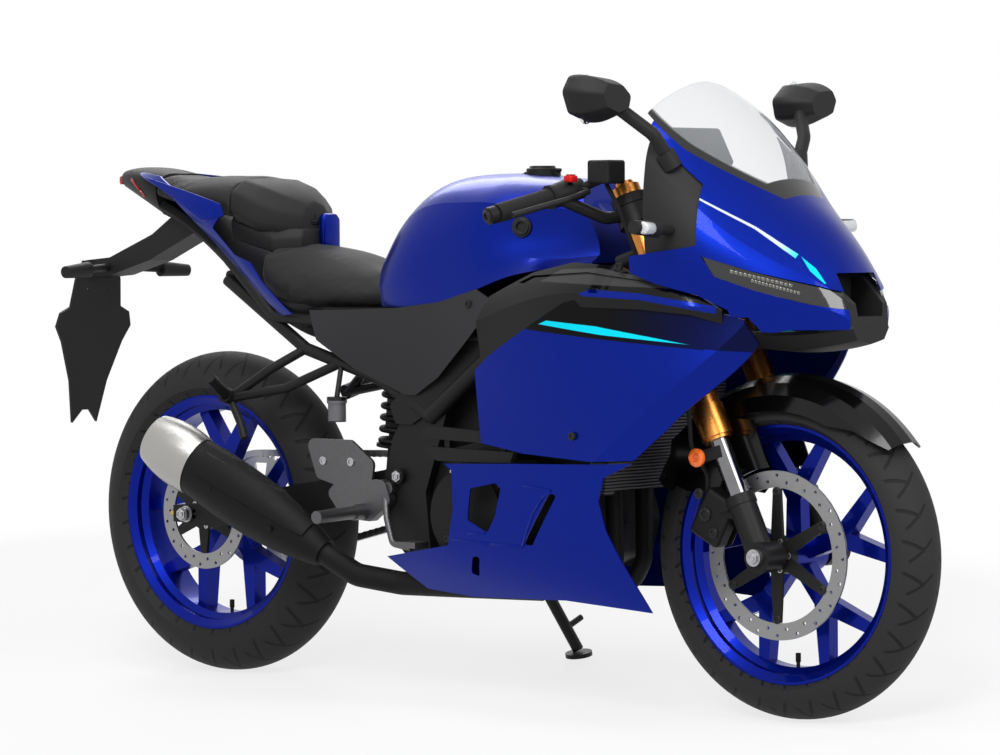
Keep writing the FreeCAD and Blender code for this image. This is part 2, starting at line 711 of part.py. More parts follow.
def muffler():
    front, rear = MUFFLER_FRONT, MUFFLER_REAR
    along = rear - front
    reach = along.Length
    along.normalize()

    def section(distance, tall, wide):
        centre = front + along * distance
        ellipse = Part.Ellipse(centre, tall, wide)
        ellipse.Axis = along
        ellipse.Center = centre
        return Part.Wire(ellipse.toShape())

    def shell(sections):
        return Part.makeLoft([section(*s) for s in sections], True, False)

    sleeve = 110
    forms = [(0, 27.5, 27), (60, 46, 38), (150, 62, 47), (300, 62, 49), (reach - sleeve - S.seat_gap, 60.5, 48.5)]
    body = shell(forms)
    shield_forms = [(40, 42, 36), (60, 46, 38), (150, 62, 47), (300, 62, 49)]
    outer = shell([(distance, tall + 4, wide + 4) for distance, tall, wide in shield_forms])
    inner = shell([(distance, tall + 1, wide + 1) for distance, tall, wide in shield_forms])
    strip = side_plate([(142, 456), (250, 408), (372, 344), (400, 318), (396, 286), (360, 300), (240, 362),
                        (132, 416)], -400, -180, 10)
    shield = outer.cut(inner).common(strip)
    lugs = []
    for distance in (96, 250):
        spot = front + along * distance + Vector(0, -38, 0)
        lugs.append(rod(spot, spot - LEFT * 13, 5))
    shield = fuse([shield] + [lug.cut(body) for lug in lugs])
    keep("muffler", Part.makeCompound([body, shield]))
    cap = shell([(reach - sleeve, 62, 50), (reach - 8, 54, 47), (reach, 51, 45)])
    hollow = rod(rear - along * 34, rear + along * 4, 38)
    outlet = rod(rear - along * 34, rear - along * 6, 24).cut(rod(rear - along * 30, rear + along * 4, 20))
    keep("muffler_end_cap", fuse([cap.cut(hollow), outlet]))


def radiator():
    hangers = [rod((1034, side * 100, 718), (1076, side * 142, 600), 8) for side in (-1, 1)]
    foot, top = Vector(1056, 0, 400), Vector(1086, 0, 636)
    along = top - foot
    height = along.Length
    lean = math.degrees(math.atan2(along.x, along.z))
    core = block(-16, 16, -150, 150, 0, height)
    tanks = [block(-19, 19, side * 136, side * 164, -6, height + 6) for side in (-1, 1)]
    whole = fuse([core] + tanks)
    whole.rotate(CENTRE, LEFT, lean)
    whole.translate(foot)
    keep("radiator", fuse([whole] + hangers).cut(made["frame"]).cut(made["exhaust_pipe"]))


# Front end, which steers

LOWER_YOKE = 806
UPPER_YOKE = 994
FORK_TOP = 1022
GOLD_FOOT = 536
CHROME_FOOT = 420
CLAMP_HALF = 27
HOSE_RADIUS = 4


def leg_point(s, side):
    return steer(s, S.fork_offset, side * S.fork_half_span)


def yokes():
    stem = rod(steer(LOWER_YOKE), steer(UPPER_YOKE + 30), STEM_RADIUS)
    nut = rod(steer(UPPER_YOKE + 16), steer(UPPER_YOKE + 34), 20)
    pieces = [stem, nut]
    for s, thick, grip in ((LOWER_YOKE, 30, 35), (UPPER_YOKE, 18, 34)):
        bar = Part.makeBox(52, 2 * S.fork_half_span, thick, Vector(-18, -S.fork_half_span, 0))
        bar.rotate(CENTRE, LEFT, -S.rake)
        bar.translate(steer(s - thick / 2, S.fork_offset / 2 - 8))
        pieces.append(bar)
        pieces.append(rod(steer(s - thick / 2), steer(s + thick / 2), 34))
        for side in (-1, 1):
            pieces.append(rod(leg_point(s - thick / 2, side), leg_point(s + thick / 2, side), grip))
    holes = [rod(leg_point(LOWER_YOKE - 60, side), leg_point(UPPER_YOKE + 60, side), S.fork_tube_radius + S.seat_gap)
             for side in (-1, 1)]
    keep("fork_yokes", fuse(pieces).cut(holes[0]).cut(holes[1]))


def fork_legs():
    outer, inner, feet = [], [], []
    r = S.fork_tube_radius
    for side in (-1, 1):
        gold = rod(leg_point(GOLD_FOOT, side), leg_point(FORK_TOP, side), r)
        collar = rod(leg_point(GOLD_FOOT, side), leg_point(GOLD_FOOT + 58, side), r + 3)
        lip = rod(leg_point(GOLD_FOOT - 6, side), leg_point(GOLD_FOOT, side), r - 1)
        cap = rod(leg_point(FORK_TOP, side), leg_point(FORK_TOP + 9, side), 17)
        bore = rod(leg_point(GOLD_FOOT - 20, side), leg_point(GOLD_FOOT + 200, side), S.slider_radius + S.seat_gap)
        outer.append(fuse([gold, collar, lip, cap]).cut(bore))
        inner.append(rod(leg_point(CHROME_FOOT - 40, side), leg_point(GOLD_FOOT + 199, side), S.slider_radius))
        socket = rod(leg_point(AXLE_S - 18, side), leg_point(CHROME_FOOT, side), 25)
        ring = rod(leg_point(CHROME_FOOT - 14, side), leg_point(CHROME_FOOT + 4, side), 27)
        axle_end = steer(AXLE_S, AXLE_AHEAD, side * S.fork_half_span)
        clamp = rod(axle_end - LEFT * CLAMP_HALF, axle_end + LEFT * CLAMP_HALF, 27)
        nip = rod(leg_point(CHROME_FOOT - 30, side), axle_end, 16)
        tab = rod(leg_point(410, side) - LEFT * side * 21, leg_point(472, side) - LEFT * side * 24, 4.5)
        foot = fuse([socket, ring, clamp, nip, tab])
        foot = foot.cut(rod(leg_point(CHROME_FOOT - 40.3, side), leg_point(GOLD_FOOT, side), S.slider_radius + S.seat_gap))
        feet.append(foot.cut(rod(axle_end - LEFT * 60, axle_end + LEFT * 60, AXLE_RADIUS + 3 + S.seat_gap)))
    keep("fork_tubes", Part.makeCompound(outer))
    keep("fork_sliders", Part.makeCompound(inner))
    keep("fork_feet", Part.makeCompound(feet))


def front_axle():
    out = f"(Sizes.fork_half_span + {CLAMP_HALF} + Sizes.seat_gap)"
    spacer_in = 64.3
    bar_stack("front_axle", FRONT_AXLE, [
        ("shaft", AXLE_RADIUS, f"-{out} - 8", f"2 * {out} + 8"),
        ("right_spacer", AXLE_RADIUS + 3, f"-{out}", f"{out} - {spacer_in}"),
        ("left_spacer", AXLE_RADIUS + 3, spacer_in, f"{out} - {spacer_in}"),
        ("right_head", 15, f"-{out} - 10", 10),
        ("left_head", 14, out, 8),
    ])


def front_caliper():
    """Sliding caliper that straddles the disc behind the right fork leg, with its bracket to the foot."""
    turn = math.radians(152)
    radius = S.front_disc_radius - 14
    middle = FRONT_AXLE + Vector(radius * math.cos(turn), 0, radius * math.sin(turn))
    body = block(-34, 34, -FRONT_DISC_OUT - 38, -FRONT_DISC_OUT + 17, -46, 46)
    body = body.makeFillet(10, body.Edges)
    slot = block(-22, 60, -FRONT_DISC_OUT - 8.1, -FRONT_DISC_OUT + 8.1, -60, 60)
    body = body.cut(slot)
    body.rotate(CENTRE, LEFT, -(math.degrees(turn) + 180))
    body.translate(middle)
    lug = rod(middle + Vector(10, -FRONT_DISC_OUT - 28, 6), leg_point(CHROME_FOOT - 30, -1), 9)
    keep("front_caliper", fuse([body, lug]).cut(made["fork_feet"]).cut(made["fork_sliders"]))


def handlebars():
    bars, grips, pods, levers = [], [], [], []
    for side in (-1, 1):
        clamp_low, clamp_high = leg_point(UPPER_YOKE - 45, side), leg_point(UPPER_YOKE - 11, side)
        clamp = rod(clamp_low, clamp_high, 35).cut(
            rod(leg_point(900, side), leg_point(1010, side), S.fork_tube_radius + S.seat_gap))
        root = leg_point(UPPER_YOKE - 28, side) + Vector(-10, side * 28, 0)
        grip_in = Vector(1012, side * 226, 924)
        grip_out = Vector(978, side * 346, 893)
        rise = tube([root, root + Vector(-18, side * 24, -4), grip_in], 11)
        bars.append(fuse([clamp, rise, rod(grip_in, grip_out, 10)]))
        along = grip_out - grip_in
        along.normalize()
        flange = rod(grip_in + along * 4, grip_in + along * 10, 22)
        grip = fuse([rod(grip_in + along * 8, grip_out - along * 4, 17), flange])
        grips.append(grip.cut(rod(grip_in, grip_out, 10.3)))
        bars[-1] = fuse([bars[-1], rod(grip_out, grip_out + along * 16, 15.5)])
        pod = rod(grip_in - along * 34, grip_in + along * 3, 24, 21)
        pods.append(pod.cut(rod(grip_in - along * 60, grip_in + along * 20, 11.4)))
        hinge = grip_in - along * 46 + Vector(36, 0, -2)
        levers.append(fuse([
            rod(grip_in - along * 60, grip_in - along * 36, 19).cut(rod(grip_in - along * 80, grip_in, 11.4)),
            tube([grip_in - along * 48 + Vector(16, 0, 0), hinge, hinge + along * 60 + Vector(12, 0, 0),
                  grip_out + Vector(40, 0, -2)], 5.5),
        ]))
    bars = Part.makeCompound(bars)
    keep("handlebars", bars)
    keep("grips", Part.makeCompound(grips).cut(bars))
    cup = block(1058, 1108, -190, -140, 946, 988)
    cup = cup.makeFillet(5, cup.Edges)
    post = rod(Vector(1032, -179, 937), Vector(1078, -166, 956), 8)
    controls = [fuse([pods[0], levers[0], cup, post]), fuse([pods[1], levers[1]])]
    keep("hand_controls", Part.makeCompound(controls).cut(bars))


def front_fender():
    radius = S.front_radius
    outer = [(radius + 25, 0), (radius + 21, 22), (radius + 9, 44), (radius - 12, 60), (radius - 40, 65)]
    line = [(r, -y) for r, y in reversed(outer[1:])] + outer
    wall = [(r - 3 if abs(y) < 50 else r - 1.5, y * (1 - 3 / 65)) for r, y in line]
    shell = turned(line + wall[::-1], FRONT_AXLE, 40, 116)
    outline = [(1700, 440), (1610, 562), (1560, 640), (1300, 700), (1100, 640), (1080, 400), (1142, 396), (1196, 420),
               (1300, 398), (1345, 392), (1372, 500), (1440, 530), (1540, 516)]
    shell = shell.common(side_plate(outline, -90, 90))
    apron = [(1142, 416), (1182, 400), (1304, 387), (1345, 392), (1366, 440), (1330, 530), (1205, 534), (1149, 488)]
    disc_bay = rod(FRONT_AXLE - LEFT * 90, FRONT_AXLE + LEFT * 90, S.front_disc_radius + 6)
    pieces = [shell]
    for side in (-1, 1):
        pieces.append(side_plate(apron, side * 62, side * 65).cut(disc_bay))
        stay_end = leg_point(469, side)
        pieces.append(rod(stay_end - LEFT * side * 33, stay_end - LEFT * side * 24, 6))
    fender = fuse(pieces).cut(made["fork_feet"]).cut(made["front_caliper"])
    keep("front_fender", largest(fender))


# Bodywork


def side_fairing():
    """The blue side panel, whose front band turns in along a crease that climbs forward."""
    levels = [
        [(780, -212, 440), (940, -224, 440), (1088, -234, 440, 1), (1168, -224, 440)],
        [(780, -213, 511), (960, -230, 511), (1178, -234, 511, 1), (1246, -208, 511)],
        [(780, -214, 569), (980, -236, 569), (1251, -228, 569, 1), (1306, -186, 569)],
        [(780, -215, 630), (1000, -238, 630), (1321, -205, 630, 1), (1372, -152, 630)],
        [(780, -214, 690), (1020, -237, 690), (1378, -170, 690, 1), (1412, -130, 690)],
        [(780, -210, 750), (1030, -232, 750), (1400, -150, 750, 1), (1440, -110, 750)],
    ]
    outline = [(822, 612), (862, 640), (1038, 736), (1061, 741), (1203, 737), (1296, 728), (1350, 718), (1385, 708),
               (1399, 664), (1368, 624), (1306, 568), (1246, 512), (1185, 460), (1098, 456), (938, 465), (833, 481)]
    return rail_skin(levels, S.panel_wall).common(side_plate(outline, -400, 0))


def lower_cowl():
    """The blue belly panel with its window, its slanted slot and the pointed front foot."""
    levels = [
        [(530, -120, 180), (760, -150, 180), (960, -164, 180), (1230, -182, 180)],
        [(530, -150, 240), (760, -186, 240), (960, -200, 240), (1200, -196, 240)],
        [(530, -176, 300), (760, -208, 300), (960, -217, 300), (1180, -212, 300)],
        [(530, -186, 370), (760, -214, 370), (960, -224, 370), (1160, -220, 370)],
        [(530, -188, 465), (760, -216, 465), (960, -228, 465), (1200, -226, 465)],
    ]
    outline = [(738, 440), (909, 446), (1098, 451), (1185, 455), (1121, 428), (1108, 389), (1122, 334), (1196, 190),
               (1000, 202), (765, 195), (644, 203), (558, 260), (742, 291), (761, 355), (757, 428)]
    window = [(798, 340), (846, 319), (868, 352), (882, 400), (870, 410), (806, 398)]
    slot = [(930, 301), (952, 301), (1016, 395), (996, 395)]
    slit = [(784, 241), (803, 236), (818, 275), (799, 272)]
    panel = rail_skin(levels, S.panel_wall).common(side_plate(outline, -400, 0))
    for gap in (window, slot, slit):
        panel = panel.cut(side_plate(gap, -400, 0, 5))
    return panel


def side_duct():
    """The gloss black panel above the blue one, with its ridge and the sunk window."""
    stations = [
        (780, [(150, 780), (184, 740), (206, 690, 1), (208, 600)]),
        (900, [(154, 812), (196, 770), (216, 728, 1), (222, 600)]),
        (1030, [(160, 830), (206, 790), (230, 752, 1), (232, 640)]),
        (1200, [(160, 828), (204, 782), (222, 745, 1), (222, 650)]),
        (1350, [(120, 790), (158, 752), (180, 728, 1), (176, 670)]),
    ]
    outline = [(835, 604), (812, 700), (835, 745), (882, 766), (936, 789), (1029, 807), (1142, 800), (1231, 768),
               (1308, 748), (1355, 722), (1352, 700), (1296, 716), (1203, 725), (1061, 729), (1038, 724), (866, 630)]
    window = [(906, 770), (937, 783), (1075, 790), (1232, 772), (1300, 754), (1120, 760)]
    panel = skin(stations, S.panel_wall).common(side_plate(outline, -400, 0))
    sunk = [(x, [(point[0] - 4, *point[1:]) for point in line]) for x, line in stations]
    pane = skin(sunk, S.panel_wall).common(side_plate(window, -400, 0))
    return fuse([panel.cut(side_plate(window, -400, 0)), pane])


def side_cover():
    """The dark panel between the seat, the tank and the frame, and the broad frame cover below it."""
    stations = [
        (310, [(110, 770), (126, 680), (116, 560)]),
        (460, [(124, 770), (142, 670), (132, 560)]),
        (600, [(138, 770), (152, 660), (146, 560)]),
        (840, [(168, 780), (188, 680), (180, 540)]),
    ]
    outline = [(327, 714), (460, 717), (567, 721), (678, 733), (775, 757), (822, 738), (817, 716), (750, 655),
               (677, 593), (603, 554), (459, 604), (352, 658)]
    return skin(stations, S.panel_wall).common(side_plate(outline, -400, 0))


# Stations across the nose: x, then half a section as (out, z) points. A third value marks a crease.
NOSE = [
    (1180, [(0, 1128), (96, 1106), (170, 1068), (214, 1000, 1), (226, 930), (228, 850, 1), (222, 790)]),
    (1250, [(0, 1080), (90, 1060), (158, 1018), (202, 952, 1), (216, 890), (220, 830, 1), (214, 760)]),
    (1320, [(0, 1012), (80, 994), (140, 950), (184, 888, 1), (198, 840), (200, 795, 1), (190, 725)]),
    (1393, [(0, 930), (66, 915), (116, 878), (152, 832, 1), (164, 795), (166, 765, 1), (152, 690)]),
    (1460, [(0, 868), (50, 854), (88, 826), (116, 792, 1), (126, 765), (130, 742, 1), (118, 684)]),
    (1505, [(0, 805), (38, 797), (62, 782), (84, 764, 1), (92, 745), (96, 728, 1), (88, 682)]),
    (1534, [(0, 735), (22, 732), (36, 728), (48, 722, 1), (54, 714), (58, 706, 1), (54, 684)]),
]

# Outlines on the nose in side view, as (x, z)
SCREEN_OUTLINE = [(1176, 1140), (1176, 1072), (1258, 1004), (1396, 916), (1420, 960), (1300, 1100), (1240, 1140)]
LAMP_OUTLINE = [(1320, 818), (1400, 792), (1496, 766), (1530, 752), (1534, 724), (1488, 734), (1403, 759),
                (1340, 783)]
INTAKE_OUTLINE = [(1476, 788), (1560, 788), (1560, 706), (1506, 706)]
COWL_OUTLINE = [(1190, 1200), (1196, 1040), (1301, 943), (1312, 838), (1300, 834), (1137, 812), (1142, 803),
                (1231, 771), (1308, 751), (1358, 725), (1362, 712), (1390, 712), (1413, 682), (1452, 690),
                (1536, 690), (1560, 700), (1560, 1200)]
REAR_PANEL_OUTLINE = [(1202, 1030), (1308, 944), (1322, 834), (1215, 812), (1208, 900)]


def creased(stations):
    """The same stations with a crease at every point."""
    return [(x, [(out, z, 1) for out, z in half]) for x, half in stations]


def inset(stations, depth):
    return [(x, [(max(point[0] - depth, 0), point[1] - depth, *point[2:]) for point in half]) for x, half in stations]


def front_cowl():
    cowl = arch_skin(NOSE, S.panel_wall)
    cowl = cowl.cut(side_plate(SCREEN_OUTLINE, -400, 400)).cut(side_plate(LAMP_OUTLINE, -400, 400))
    cowl = cowl.cut(side_plate(INTAKE_OUTLINE, -56, 56)).common(side_plate(COWL_OUTLINE, -400, 400))
    for other in ("mirrors", "indicators", "nose_intake", "side_fairings", "side_ducts"):
        cowl = cowl.cut(made[other])
    keep("front_cowl", cowl)


def windscreen():
    glass = arch_skin(NOSE, S.panel_wall)
    keep("windscreen", glass.common(side_plate(SCREEN_OUTLINE, -400, 400)))


def headlights():
    """A slim lens unit each side, set a little inside the cowl's surface, with a rib between its two lamps."""
    lens = arch_skin(inset(NOSE, 4), 8).common(side_plate(LAMP_OUTLINE, -400, 400))
    lens = lens.cut(block(1200, 1600, -56, 56, 600, 900))
    keep("headlights", lens.cut(made["nose_intake"]).cut(made["front_cowl"]))


def nose_intake():
    """The square mouth with its dark pillars, the chin below it and the panels behind the cowl's rear edges."""
    pillar = side_plate([(1450, 792), (1476, 788), (1534, 735), (1538, 700), (1530, 688), (1440, 684)], -84, 84)
    taper = hull_loft(creased([
        (1430, [(0, 800), (100, 800), (100, 684), (0, 684)]),
        (1476, [(0, 800), (78, 800), (96, 684), (0, 684)]),
        (1540, [(0, 800), (46, 800), (50, 684), (0, 684)]),
    ]))
    mouth = pillar.common(taper)
    hollow = hull_loft(creased([
        (1462, [(0, 780), (48, 780), (44, 712), (0, 712)]),
        (1560, [(0, 780), (48, 780), (34, 712), (0, 712)]),
    ]))
    chin = hull_loft(creased([
        (1345, [(0, 680), (132, 690), (140, 684), (92, 658), (0, 650)]),
        (1420, [(0, 686), (112, 686), (118, 680), (80, 654), (0, 648)]),
        (1538, [(0, 700), (50, 700), (54, 692), (40, 672), (0, 664)]),
    ]))
    rear = skin(inset(NOSE, S.panel_wall + S.seat_gap), S.panel_wall).common(side_plate(REAR_PANEL_OUTLINE, -400, 0))
    front = fuse([mouth.cut(hollow), chin]).cut(made["side_fairings"])
    rear = rear.cut(made["mirrors"])
    keep("nose_intake", Part.makeCompound([front, rear, mirrored(rear)]))


TANK_CLEARANCE = 68


def fuel_tank():
    """Rounded at the knees, with a scallop each side under a shoulder crease that runs to the front."""
    stations = [
        (500, [(0, 846), (60, 838), (98, 814, 1), (112, 790), (118, 760, 1), (112, 722)]),
        (530, [(0, 895), (62, 880), (106, 850, 1), (124, 815), (130, 765, 1), (124, 722)]),
        (612, [(0, 955), (74, 941), (124, 905, 1), (142, 860), (148, 790, 1), (142, 725)]),
        (700, [(0, 968), (82, 956), (138, 915, 1), (152, 868), (156, 800, 1), (152, 738)]),
        (790, [(0, 968), (88, 955), (146, 915, 1), (152, 868), (158, 812, 1), (160, 762)]),
        (850, [(0, 962), (86, 950), (142, 908, 1), (134, 862), (146, 815, 1), (162, 780)]),
        (920, [(0, 955), (80, 943), (122, 904, 1), (112, 858), (130, 812, 1), (158, 792)]),
        (985, [(0, 944), (66, 932), (102, 896, 1), (96, 852), (114, 815, 1), (148, 800)]),
        (1040, [(0, 925), (52, 914), (82, 884, 1), (84, 848), (98, 820, 1), (132, 806)]),
    ]
    body = hull_loft(stations)
    swing = Part.makeBox(400, 600, 900, Vector(-TANK_CLEARANCE, -300, 300))
    swing.rotate(CENTRE, LEFT, -S.rake)
    swing.translate(AXIS_FOOT)
    body = body.cut(swing).cut(made["frame"]).cut(made["engine"])
    body = body.cut(made["side_covers"]).cut(made["side_ducts"])
    recess = rod(Vector(800, 0, 955), Vector(800, 0, 1000), 34 + S.joint_gap)
    keep("fuel_tank", largest(body.cut(recess)))
    lid = rod(Vector(800, 0, 955 + S.seat_gap), Vector(800, 0, 971), 34)
    knuckle = rod(Vector(836, -8, 974), Vector(836, 8, 974), 3.5)
    keep("fuel_cap", fuse([lid, knuckle, block(826, 836, -8, 8, 966, 976)]))


def rider_seat():
    stations = [
        (190, [(0, 850), (60, 845), (112, 820), (118, 780), (100, 752)]),
        (250, [(0, 836), (60, 832), (118, 800), (126, 756), (108, 726)]),
        (371, [(0, 812), (60, 808), (116, 776), (124, 744), (106, 720)]),
        (447, [(0, 790), (56, 786), (100, 765), (110, 742), (100, 720)]),
        (500 - S.seat_gap, [(0, 800), (50, 790), (76, 775), (86, 750), (80, 724)]),
    ]
    keep("rider_seat", hull_loft(creased(stations)).cut(made["fuel_tank"]))


def pillion_seat():
    stations = [
        (S.seat_gap - 124, [(0, 978), (60, 974), (84, 955), (84, 930)]),
        (0, [(0, 968), (70, 964), (104, 944), (104, 910)]),
        (100, [(0, 966), (76, 962), (112, 940), (112, 890)]),
        (180, [(0, 944), (74, 938), (108, 915), (108, 872)]),
        (244, [(0, 908), (60, 900), (92, 880), (92, 852)]),
    ]
    keep("pillion_seat", hull_loft(stations))


def tail_cowl():
    stations = [
        (-262, [(30, 985), (52, 975), (40, 955)]),
        (-90, [(84, 985), (108, 950), (80, 900)]),
        (60, [(112, 960), (134, 900), (100, 830)]),
        (180, [(120, 880), (142, 820), (110, 740)]),
        (295, [(118, 790), (140, 730), (120, 690)]),
    ]
    outline = [(-230, 988), (-94, 972), (67, 903), (112, 899), (85, 870), (146, 818), (191, 804), (217, 770), (289, 706),
               (250, 703), (93, 827), (-53, 940), (-180, 978)]
    return skin(stations, S.panel_wall).common(side_plate(outline, -400, 0))


def tail_centre():
    stations = [
        (-264, [(0, 986), (26, 982), (34, 970), (28, 958), (0, 954)]),
        (-180, [(0, 990), (50, 984), (70, 968), (60, 935), (0, 930)]),
        (-124, [(0, 978), (58, 972), (76, 955), (70, 915), (0, 905)]),
    ]
    rear = hull_loft(stations)
    tray = [
        (-124, [(0, 925), (58, 925), (70, 912), (58, 898), (0, 896)]),
        (20, [(0, 850), (68, 850), (76, 838), (68, 826), (0, 822)]),
        (140, [(0, 768), (72, 768), (80, 755), (72, 738), (0, 732)]),
        (330, [(0, 680), (72, 680), (80, 668), (72, 654), (0, 648)]),
    ]
    keep("tail_centre", rear)
    tray = hull_loft(creased(tray)).cut(made["frame"]).cut(rear)
    box = block(345, 556, -104, 104, 664, 720 - S.seat_gap).cut(made["frame"])
    keep("tail_tray", Part.makeCompound([tray, box]))


def tail_light():
    lamp = doc.addObject("Part::Box", "tail_light")
    lamp.Label = "tail_light"
    lamp.Length, lamp.Width, lamp.Height = 6, 64, 16
    lamp.Placement = PARK.multiply(Placement(Vector(-270, -32, 958), Rotation()))
    nodes.append(lamp)


# Outer fittings


def mirrors():
    """A rounded shell that narrows forward, on a short arm from the cowl."""
    outline = [(250, 1064), (296, 1050), (350, 1066), (367, 1104), (346, 1134), (276, 1128), (240, 1100)]

    def ring(x, scale):
        return rounded_wire([Vector(x, -(304 + (y - 304) * scale), 1092 + (z - 1092) * scale) for y, z in outline],
                            14 * scale)

    head = Part.makeLoft([ring(1146, 0.97), ring(1156, 1), ring(1196, 0.86), ring(1220, 0.6)], True, False)
    glass_bed = Part.Face(ring(1140, 0.88)).extrude(Vector(10, 0, 0))
    arm = tube([(1244, -190, 986), (1234, -222, 1030), (1190, -268, 1078)], 12)
    foot = rod((1248, -184, 972), (1238, -196, 998), 18)
    keep("mirrors", both(fuse([head, arm, foot]).cut(glass_bed)))


def indicators():
    stalk = rod((1262, -200, 862), (1266, -262, 866), 9).cut(made["nose_intake"])
    stalk = largest(stalk)
    front = fuse([stalk, rod((1266, -256, 866), (1268, -322, 869), 16, 12)])
    rear = fuse([rod((-306, -34, 792), (-292, -108, 788), 8), rod((-292, -102, 788), (-284, -172, 784), 16, 12)])
    rear = rear.cut(made["plate_holder"])
    keep("indicators", Part.makeCompound([front, mirrored(front), rear, mirrored(rear)]))


def instrument_panel():
    dash = block(1154, 1180, -70, 70, 970, 1046)
    dash = dash.makeFillet(8, dash.Edges)
    dash.rotate(Vector(1164, 0, 1004), LEFT, -28)
    spine = tube([(1172, 0, 1000), (1240, 0, 940), (1330, 0, 900), (1360, 0, 820)], 12)
    arms = [stay((1262, side * 8, 917), (1252, side * 300, 905), 8, made["nose_intake"]) for side in (-1, 1)]
    head_stay = tube([(1360, 0, 820), (1300, 0, 800), (1126, 0, 812)], 12)
    whole = fuse([dash, spine, head_stay] + arms)
    keep("instrument_panel", whole.cut(made["frame"]))


def plate_holder():
    arm = side_plate([(-120, 896), (-60, 862), (-190, 806), (-300, 776), (-372, 770), (-372, 806), (-300, 812), (-180, 858)],
                     -34, 34)
    half = [(-362, 46, 806), (-367, 62, 768), (-376, 70, 712), (-381, 96, 700), (-388, 104, 672), (-396, 84, 640),
            (-404, 52, 560), (-414, 34, 474), (-412, 10, 500)]
    face = [Vector(0, -y, z) for _, y, z in half] + [Vector(0, y, z) for _, y, z in reversed(half)]
    flap = Part.Face(Part.makePolygon(face + face[:1])).extrude(Vector(6, 0, 0))
    for side in (-1, 1):
        flap = flap.cut(rod((-5, side * 25, 748), (11, side * 25, 748), 3.2))
    flap.rotate(Vector(0, 0, 806), LEFT, 8.7)
    flap.translate(Vector(-366, 0, 0))
    keep("plate_holder", fuse([arm, flap]).cut(made["tail_tray"]).cut(made["tail_centre"]))


def rider_pegs():
    guard = [(347, 473), (462, 473), (519, 433), (512, 390), (456, 379), (375, 399)]
    plate = side_plate(guard, -158, -152, 14)
    arm = side_plate([(430, 400), (545, 400), (560, 360), (510, 322), (440, 326), (400, 372)], -158, -140, 12)
    hinge = fuse([rod((492, -140, 340), (492, -186, 340), 15)])
    peg = rod((492, -180, 340), (500, -296, 337), 12)
    pedal = fuse([tube([(540, -150, 372), (560, -168, 330), (590, -186, 286), (640, -190, 280)], 6),
                  block(618, 662, -206, -168, 281, 292)])
    shifter = fuse([tube([(540, 150, 380), (584, 186, 352), (640, 194, 336)], 6), rod((632, 186, 338), (634, 226, 338), 9)])
    stand_off = rod((420, -136.4, 420), (420, -153, 420), 9)
    boss = rod((548, -136.3, 385), (548, -153, 385), 12)
    shared = fuse([plate, arm, hinge, peg, boss, stand_off])
    keep("rider_pegs", Part.makeCompound([fuse([shared, pedal]), fuse([mirrored(shared), shifter])]))


def pillion_pegs():
    stay_a = tube([(300, -104, 640), (240, -142, 600), (160, -168, 545)], 9)
    stay_b = tube([(400, -115, 615), (290, -150, 566), (160, -168, 545)], 9)
    peg = fuse([rod((160, -160, 545), (162, -186, 552), 15), rod((162, -182, 552), (186, -252, 588), 11)])
    hanger = tube([(160, -168, 545), (190, -172, 500), (205, -176, 470)], 8)
    right = fuse([stay_a, stay_b, peg, hanger])
    left = mirrored(fuse([stay_a, stay_b, peg]))
    keep("pillion_pegs", Part.makeCompound([right, left]).cut(made["frame"]))


def rear_brake():
    turn = math.radians(38)
    radius = S.rear_disc_radius - 14
    middle = REAR_AXLE + Vector(radius * math.cos(turn), 0, radius * math.sin(turn))
    body = block(-26, 30, -REAR_DISC_OUT - 23, -REAR_DISC_OUT + 12, -32, 32)
    body = body.makeFillet(5, body.Edges)
    body = body.cut(block(-60, 20, -REAR_DISC_OUT - 8.1, -REAR_DISC_OUT + 8.1, -60, 60))
    body.rotate(CENTRE, LEFT, -math.degrees(turn))
    body.translate(middle)
    cup = rod((411, -140, 505), (411, -140, 540), 17)
    cap = rod((411, -140, 540), (411, -140, 552), 19)
    stem = rod((411, -140, 552), (411, -128, 606), 5)
    reservoir = fuse([cup, cap, stem]).cut(made["frame"])
    lug = front_to_rear(REAR_AXLE + Vector(34, 0, 22), middle, 26, -REAR_DISC_OUT - 22, -REAR_DISC_OUT - 12)
    keep("rear_brake", Part.makeCompound([fuse([body, lug]), reservoir]))


def side_stand():
    along = STAND_FOOT - STAND_PIVOT
    along.normalize()
    leg = rod(STAND_PIVOT + along * 16, STAND_FOOT + Vector(0, 0, 9) - along * 4, 11)
    eye = rod(STAND_PIVOT - STAND_AXIS * 9, STAND_PIVOT + STAND_AXIS * 9, 19)
    shoe = rod(Vector(0, 0, 0), Vector(0, 0, 8), 26)
    shoe.rotate(CENTRE, Vector(1, 0, 0), S.lean)
    shoe.translate(STAND_FOOT)
    tang = rod(STAND_FOOT - along * 60 + STAND_AXIS * 4, STAND_FOOT - along * 60 + STAND_AXIS * 46, 6)
    whole = fuse([leg, eye, shoe, tang]).cut(
        rod(STAND_PIVOT - STAND_AXIS * 30, STAND_PIVOT + STAND_AXIS * 30, STAND_PIN_RADIUS + RUNNING_FIT))
    keep("side_stand", whole)


def brake_hose():
    """From the reservoir's foot, past the lower clamp that carries it, to the back of the caliper."""
    beside = S.fork_half_span + 35 + HOSE_RADIUS + S.seat_gap
    route = [Vector(1083, -165, 945.7), steer(970, 50, -162), steer(860, 30, -beside), steer(620, 30, -beside),
             steer(540, -14, -118), Vector(1252, -92, 430), Vector(1244.6, -84, 400)]
    hose = tube(route, HOSE_RADIUS, 12).cut(made["front_caliper"]).cut(made["hand_controls"])
    keep("brake_hose", largest(hose))


